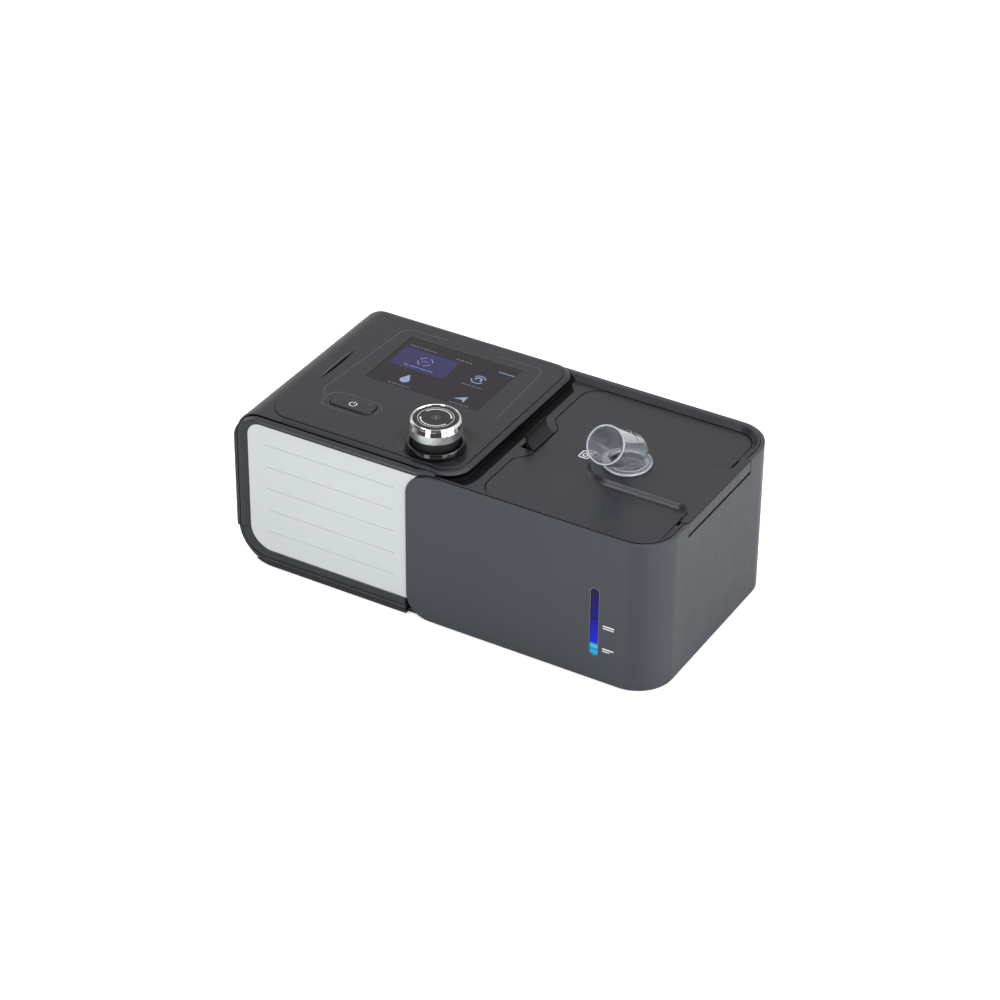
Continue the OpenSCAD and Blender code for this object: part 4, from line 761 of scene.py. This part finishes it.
# ---------------------------------------------------------------- latch
def latch_ramp(steps=12):
    """Side view of the latch, in x and z, with its hollow thumb ramp."""
    cx, cz, r = 32.3, 103.0, 11.62
    first, last = math.atan2(93.0 - cz, 26.4 - cx), math.atan2(100.9 - cz, 21.0 - cx)
    if last > 0:
        last -= 2 * math.pi
    out = [(20.6, 90.2), (26.4, 90.2)]
    for k in range(steps + 1):
        t = first + (last - first) * k / steps
        out.append((cx + r * math.cos(t), cz + r * math.sin(t)))
    return out + [(20.85, 101.15), (20.6, 101.15), (20.42, 100.95), (20.4, 99.0), (20.6, 95.0)]


latch_y0, latch_y1 = -12.3, 9.9
# Distance in from each side, and how far the outline grows there
ends = ((0, -0.75), (0.12, -0.4), (0.35, -0.14), (0.75, 0))
latch_rows = [(latch_y0 + d, grow) for d, grow in ends] + [(latch_y1 - d, grow) for d, grow in reversed(ends)]
ramp_rings = [[(x, y, z) for x, z in grown(latch_ramp(), grow)] for y, grow in latch_rows]
flange = box_outline(20.6, -14.3, 26.4, 11.9, 0.3, 3)
hook = box_outline(23.4, -5.2, 26.4, 2.8, 0.3, 3)
solid("latch_thumb", "latch_grip", "latch",
      [(ramp_rings, []), ([ring_at(flange, 0, z) for z in (88.6, 90.1)], []),
       ([ring_at(hook, 0, z) for z in (86.6, 88.6)], [])], slot="black_plastic", replaces=("latch_button",))

# ---------------------------------------------------------------- elbow
MOUTH = (78.3, -27.17, 121.82)
MOUTH_AXIS = (0, -0.8141, 0.5807)
# Whiter rings at the mouth and round the flange: painted highlight on the edges of the clear walls
lathe("elbow_rims", "clear_rim_painted_highlight", "elbow",
      [[(10.2, -0.4), (11.03, -0.5), (11.1, -0.3), (11.1, 0.0), (10.98, 0.14), (10.3, 0.14), (10.18, 0.0)]],
      MOUTH, axis=MOUTH_AXIS, slot="clear_plastic")
lathe("elbow_flange_rims", "clear_rim_painted_highlight", "elbow",
      [[(13.35, 97.42), (13.85, 97.42), (14.02, 97.2), (14.02, 96.9), (13.8, 96.8), (13.4, 97.25)],
       [(11.15, 97.42), (11.6, 97.46), (11.4, 97.7), (11.15, 97.8)]],
      (*ELBOW, 0), slot="clear_plastic")

# ---------------------------------------------------------------- front and water window
FRONT = -70.5
window = box_outline(95.1, LEVEL_LOW, 100.1, LEVEL_HIGH, 2.49)
marks("level_rim", "hairline", "machine", [], [(grown(window, 0.25), 0.4, True)], FRONT, 0.06, front=True,
      slot="sleeve_metallic")
ticks = []
for z, length in ((38.3, 6.6), (23.3, 4.4)):
    ticks += [([(103.0, z), (109.8, z)], 0.75, False), ([(103.0, z - 1.5), (103.0 + length, z - 1.5)], 0.6, False)]
marks("level_marks", "print_white", "machine", [], ticks, FRONT, 0.04, front=True, slot="sleeve_metallic")

# ---------------------------------------------------------------- floor and light
FLOOR_HALF = 6
ground = cad_box[0].z
floor_mesh = bpy.data.meshes.new("floor")
floor_mesh.from_pydata([(x * FLOOR_HALF, y * FLOOR_HALF, ground) for x, y in ((-1, -1), (1, -1), (1, 1), (-1, 1))],
                       [], [(0, 1, 2, 3)])
floor_mesh.update()
floor = bpy.data.objects.new("floor", floor_mesh)
scene.collection.objects.link(floor)
mat, tree, shader = new_material("m_floor")
camera_ray = add(tree, "LightPath", {}).outputs["Is Camera Ray"]
feed(tree, shader, {
    "Base Color": (0.86, 0.86, 0.86, 1),
    "Roughness": 0.9,
    "Specular IOR Level": 0.1,
    "Emission Color": (1, 1, 1, 1),
    "Emission Strength": maths(tree, "MULTIPLY", camera_ray, 0.55),
})
floor.data.materials.append(mat)

# The camera and clear plastic see white. Reflections see a studio that is bright behind and above
# the machine and dark in front of it. Everything else gets an even soft light.
BRIGHT, SOFT = 0.86, 0.36
world = bpy.data.worlds.new("world")
scene.world = world
world.use_nodes = True
sky = world.node_tree
rays = add(sky, "LightPath", {}).outputs
way = add(sky, "SeparateXYZ", {0: add(sky, "TexCoord", {}).outputs["Generated"]}).outputs


def brightness(value, low, high, darkest):
    ends = {"From Min": low, "From Max": high, "To Min": darkest, "To Max": BRIGHT}
    return add(sky, "MapRange", {**ends, "Value": value}, interpolation_type="SMOOTHSTEP").outputs["Result"]


studio = maths(sky, "MAXIMUM", brightness(way["Y"], -0.45, 0.1, 0.13), brightness(way["Z"], 0.78, 0.97, 0.0))
lighting = add(sky, "Mix", {"Factor": rays["Is Glossy Ray"], "A": SOFT, "B": studio}).outputs["Result"]
seen = maths(sky, "MAXIMUM", rays["Is Camera Ray"], rays["Is Transmission Ray"])
feed(sky, sky.nodes["Background"], {"Strength": maths(sky, "MAXIMUM", lighting, seen), "Color": (1, 1, 1, 1)})


def softbox(name, place, aim, size, watts):
    lamp = bpy.data.lights.new(name, "AREA")
    lamp.shape = "RECTANGLE"
    lamp.size, lamp.size_y = size
    lamp.energy = watts
    o = bpy.data.objects.new(name, lamp)
    scene.collection.objects.link(o)
    place, aim = Vector(place), Vector(aim)
    o.location = place
    o.rotation_mode = "QUATERNION"
    o.rotation_quaternion = (aim - place).to_track_quat("-Z", "Y")
    return o


for name, place, size, watts in (("light_top", (0.2, 0.4, 1.7), (1.4, 1.4), 11),
                                 ("light_right", (1.7, 0.1, 0.5), (1.0, 0.9), 17),
                                 ("light_left", (-1.5, 0.2, 0.9), (0.8, 1.2), 3),
                                 ("light_front", (-0.78, -1.12, 1.45), (0.6, 0.6), 11.5)):
    softbox(name, place, (0, 0, 0.05), size, watts)
# Two strips for the patches on the knob and the bands on the sleeve's corner
for name, place in (("strip_front", (-0.04, -0.68, 0.34)), ("strip_right", (0.54, -0.31, 0.34))):
    softbox(name, place, (-0.02, -0.04, 0.34), (0.22, 0.64), 1.5).visible_camera = False

scene.view_settings.view_transform = "Standard"
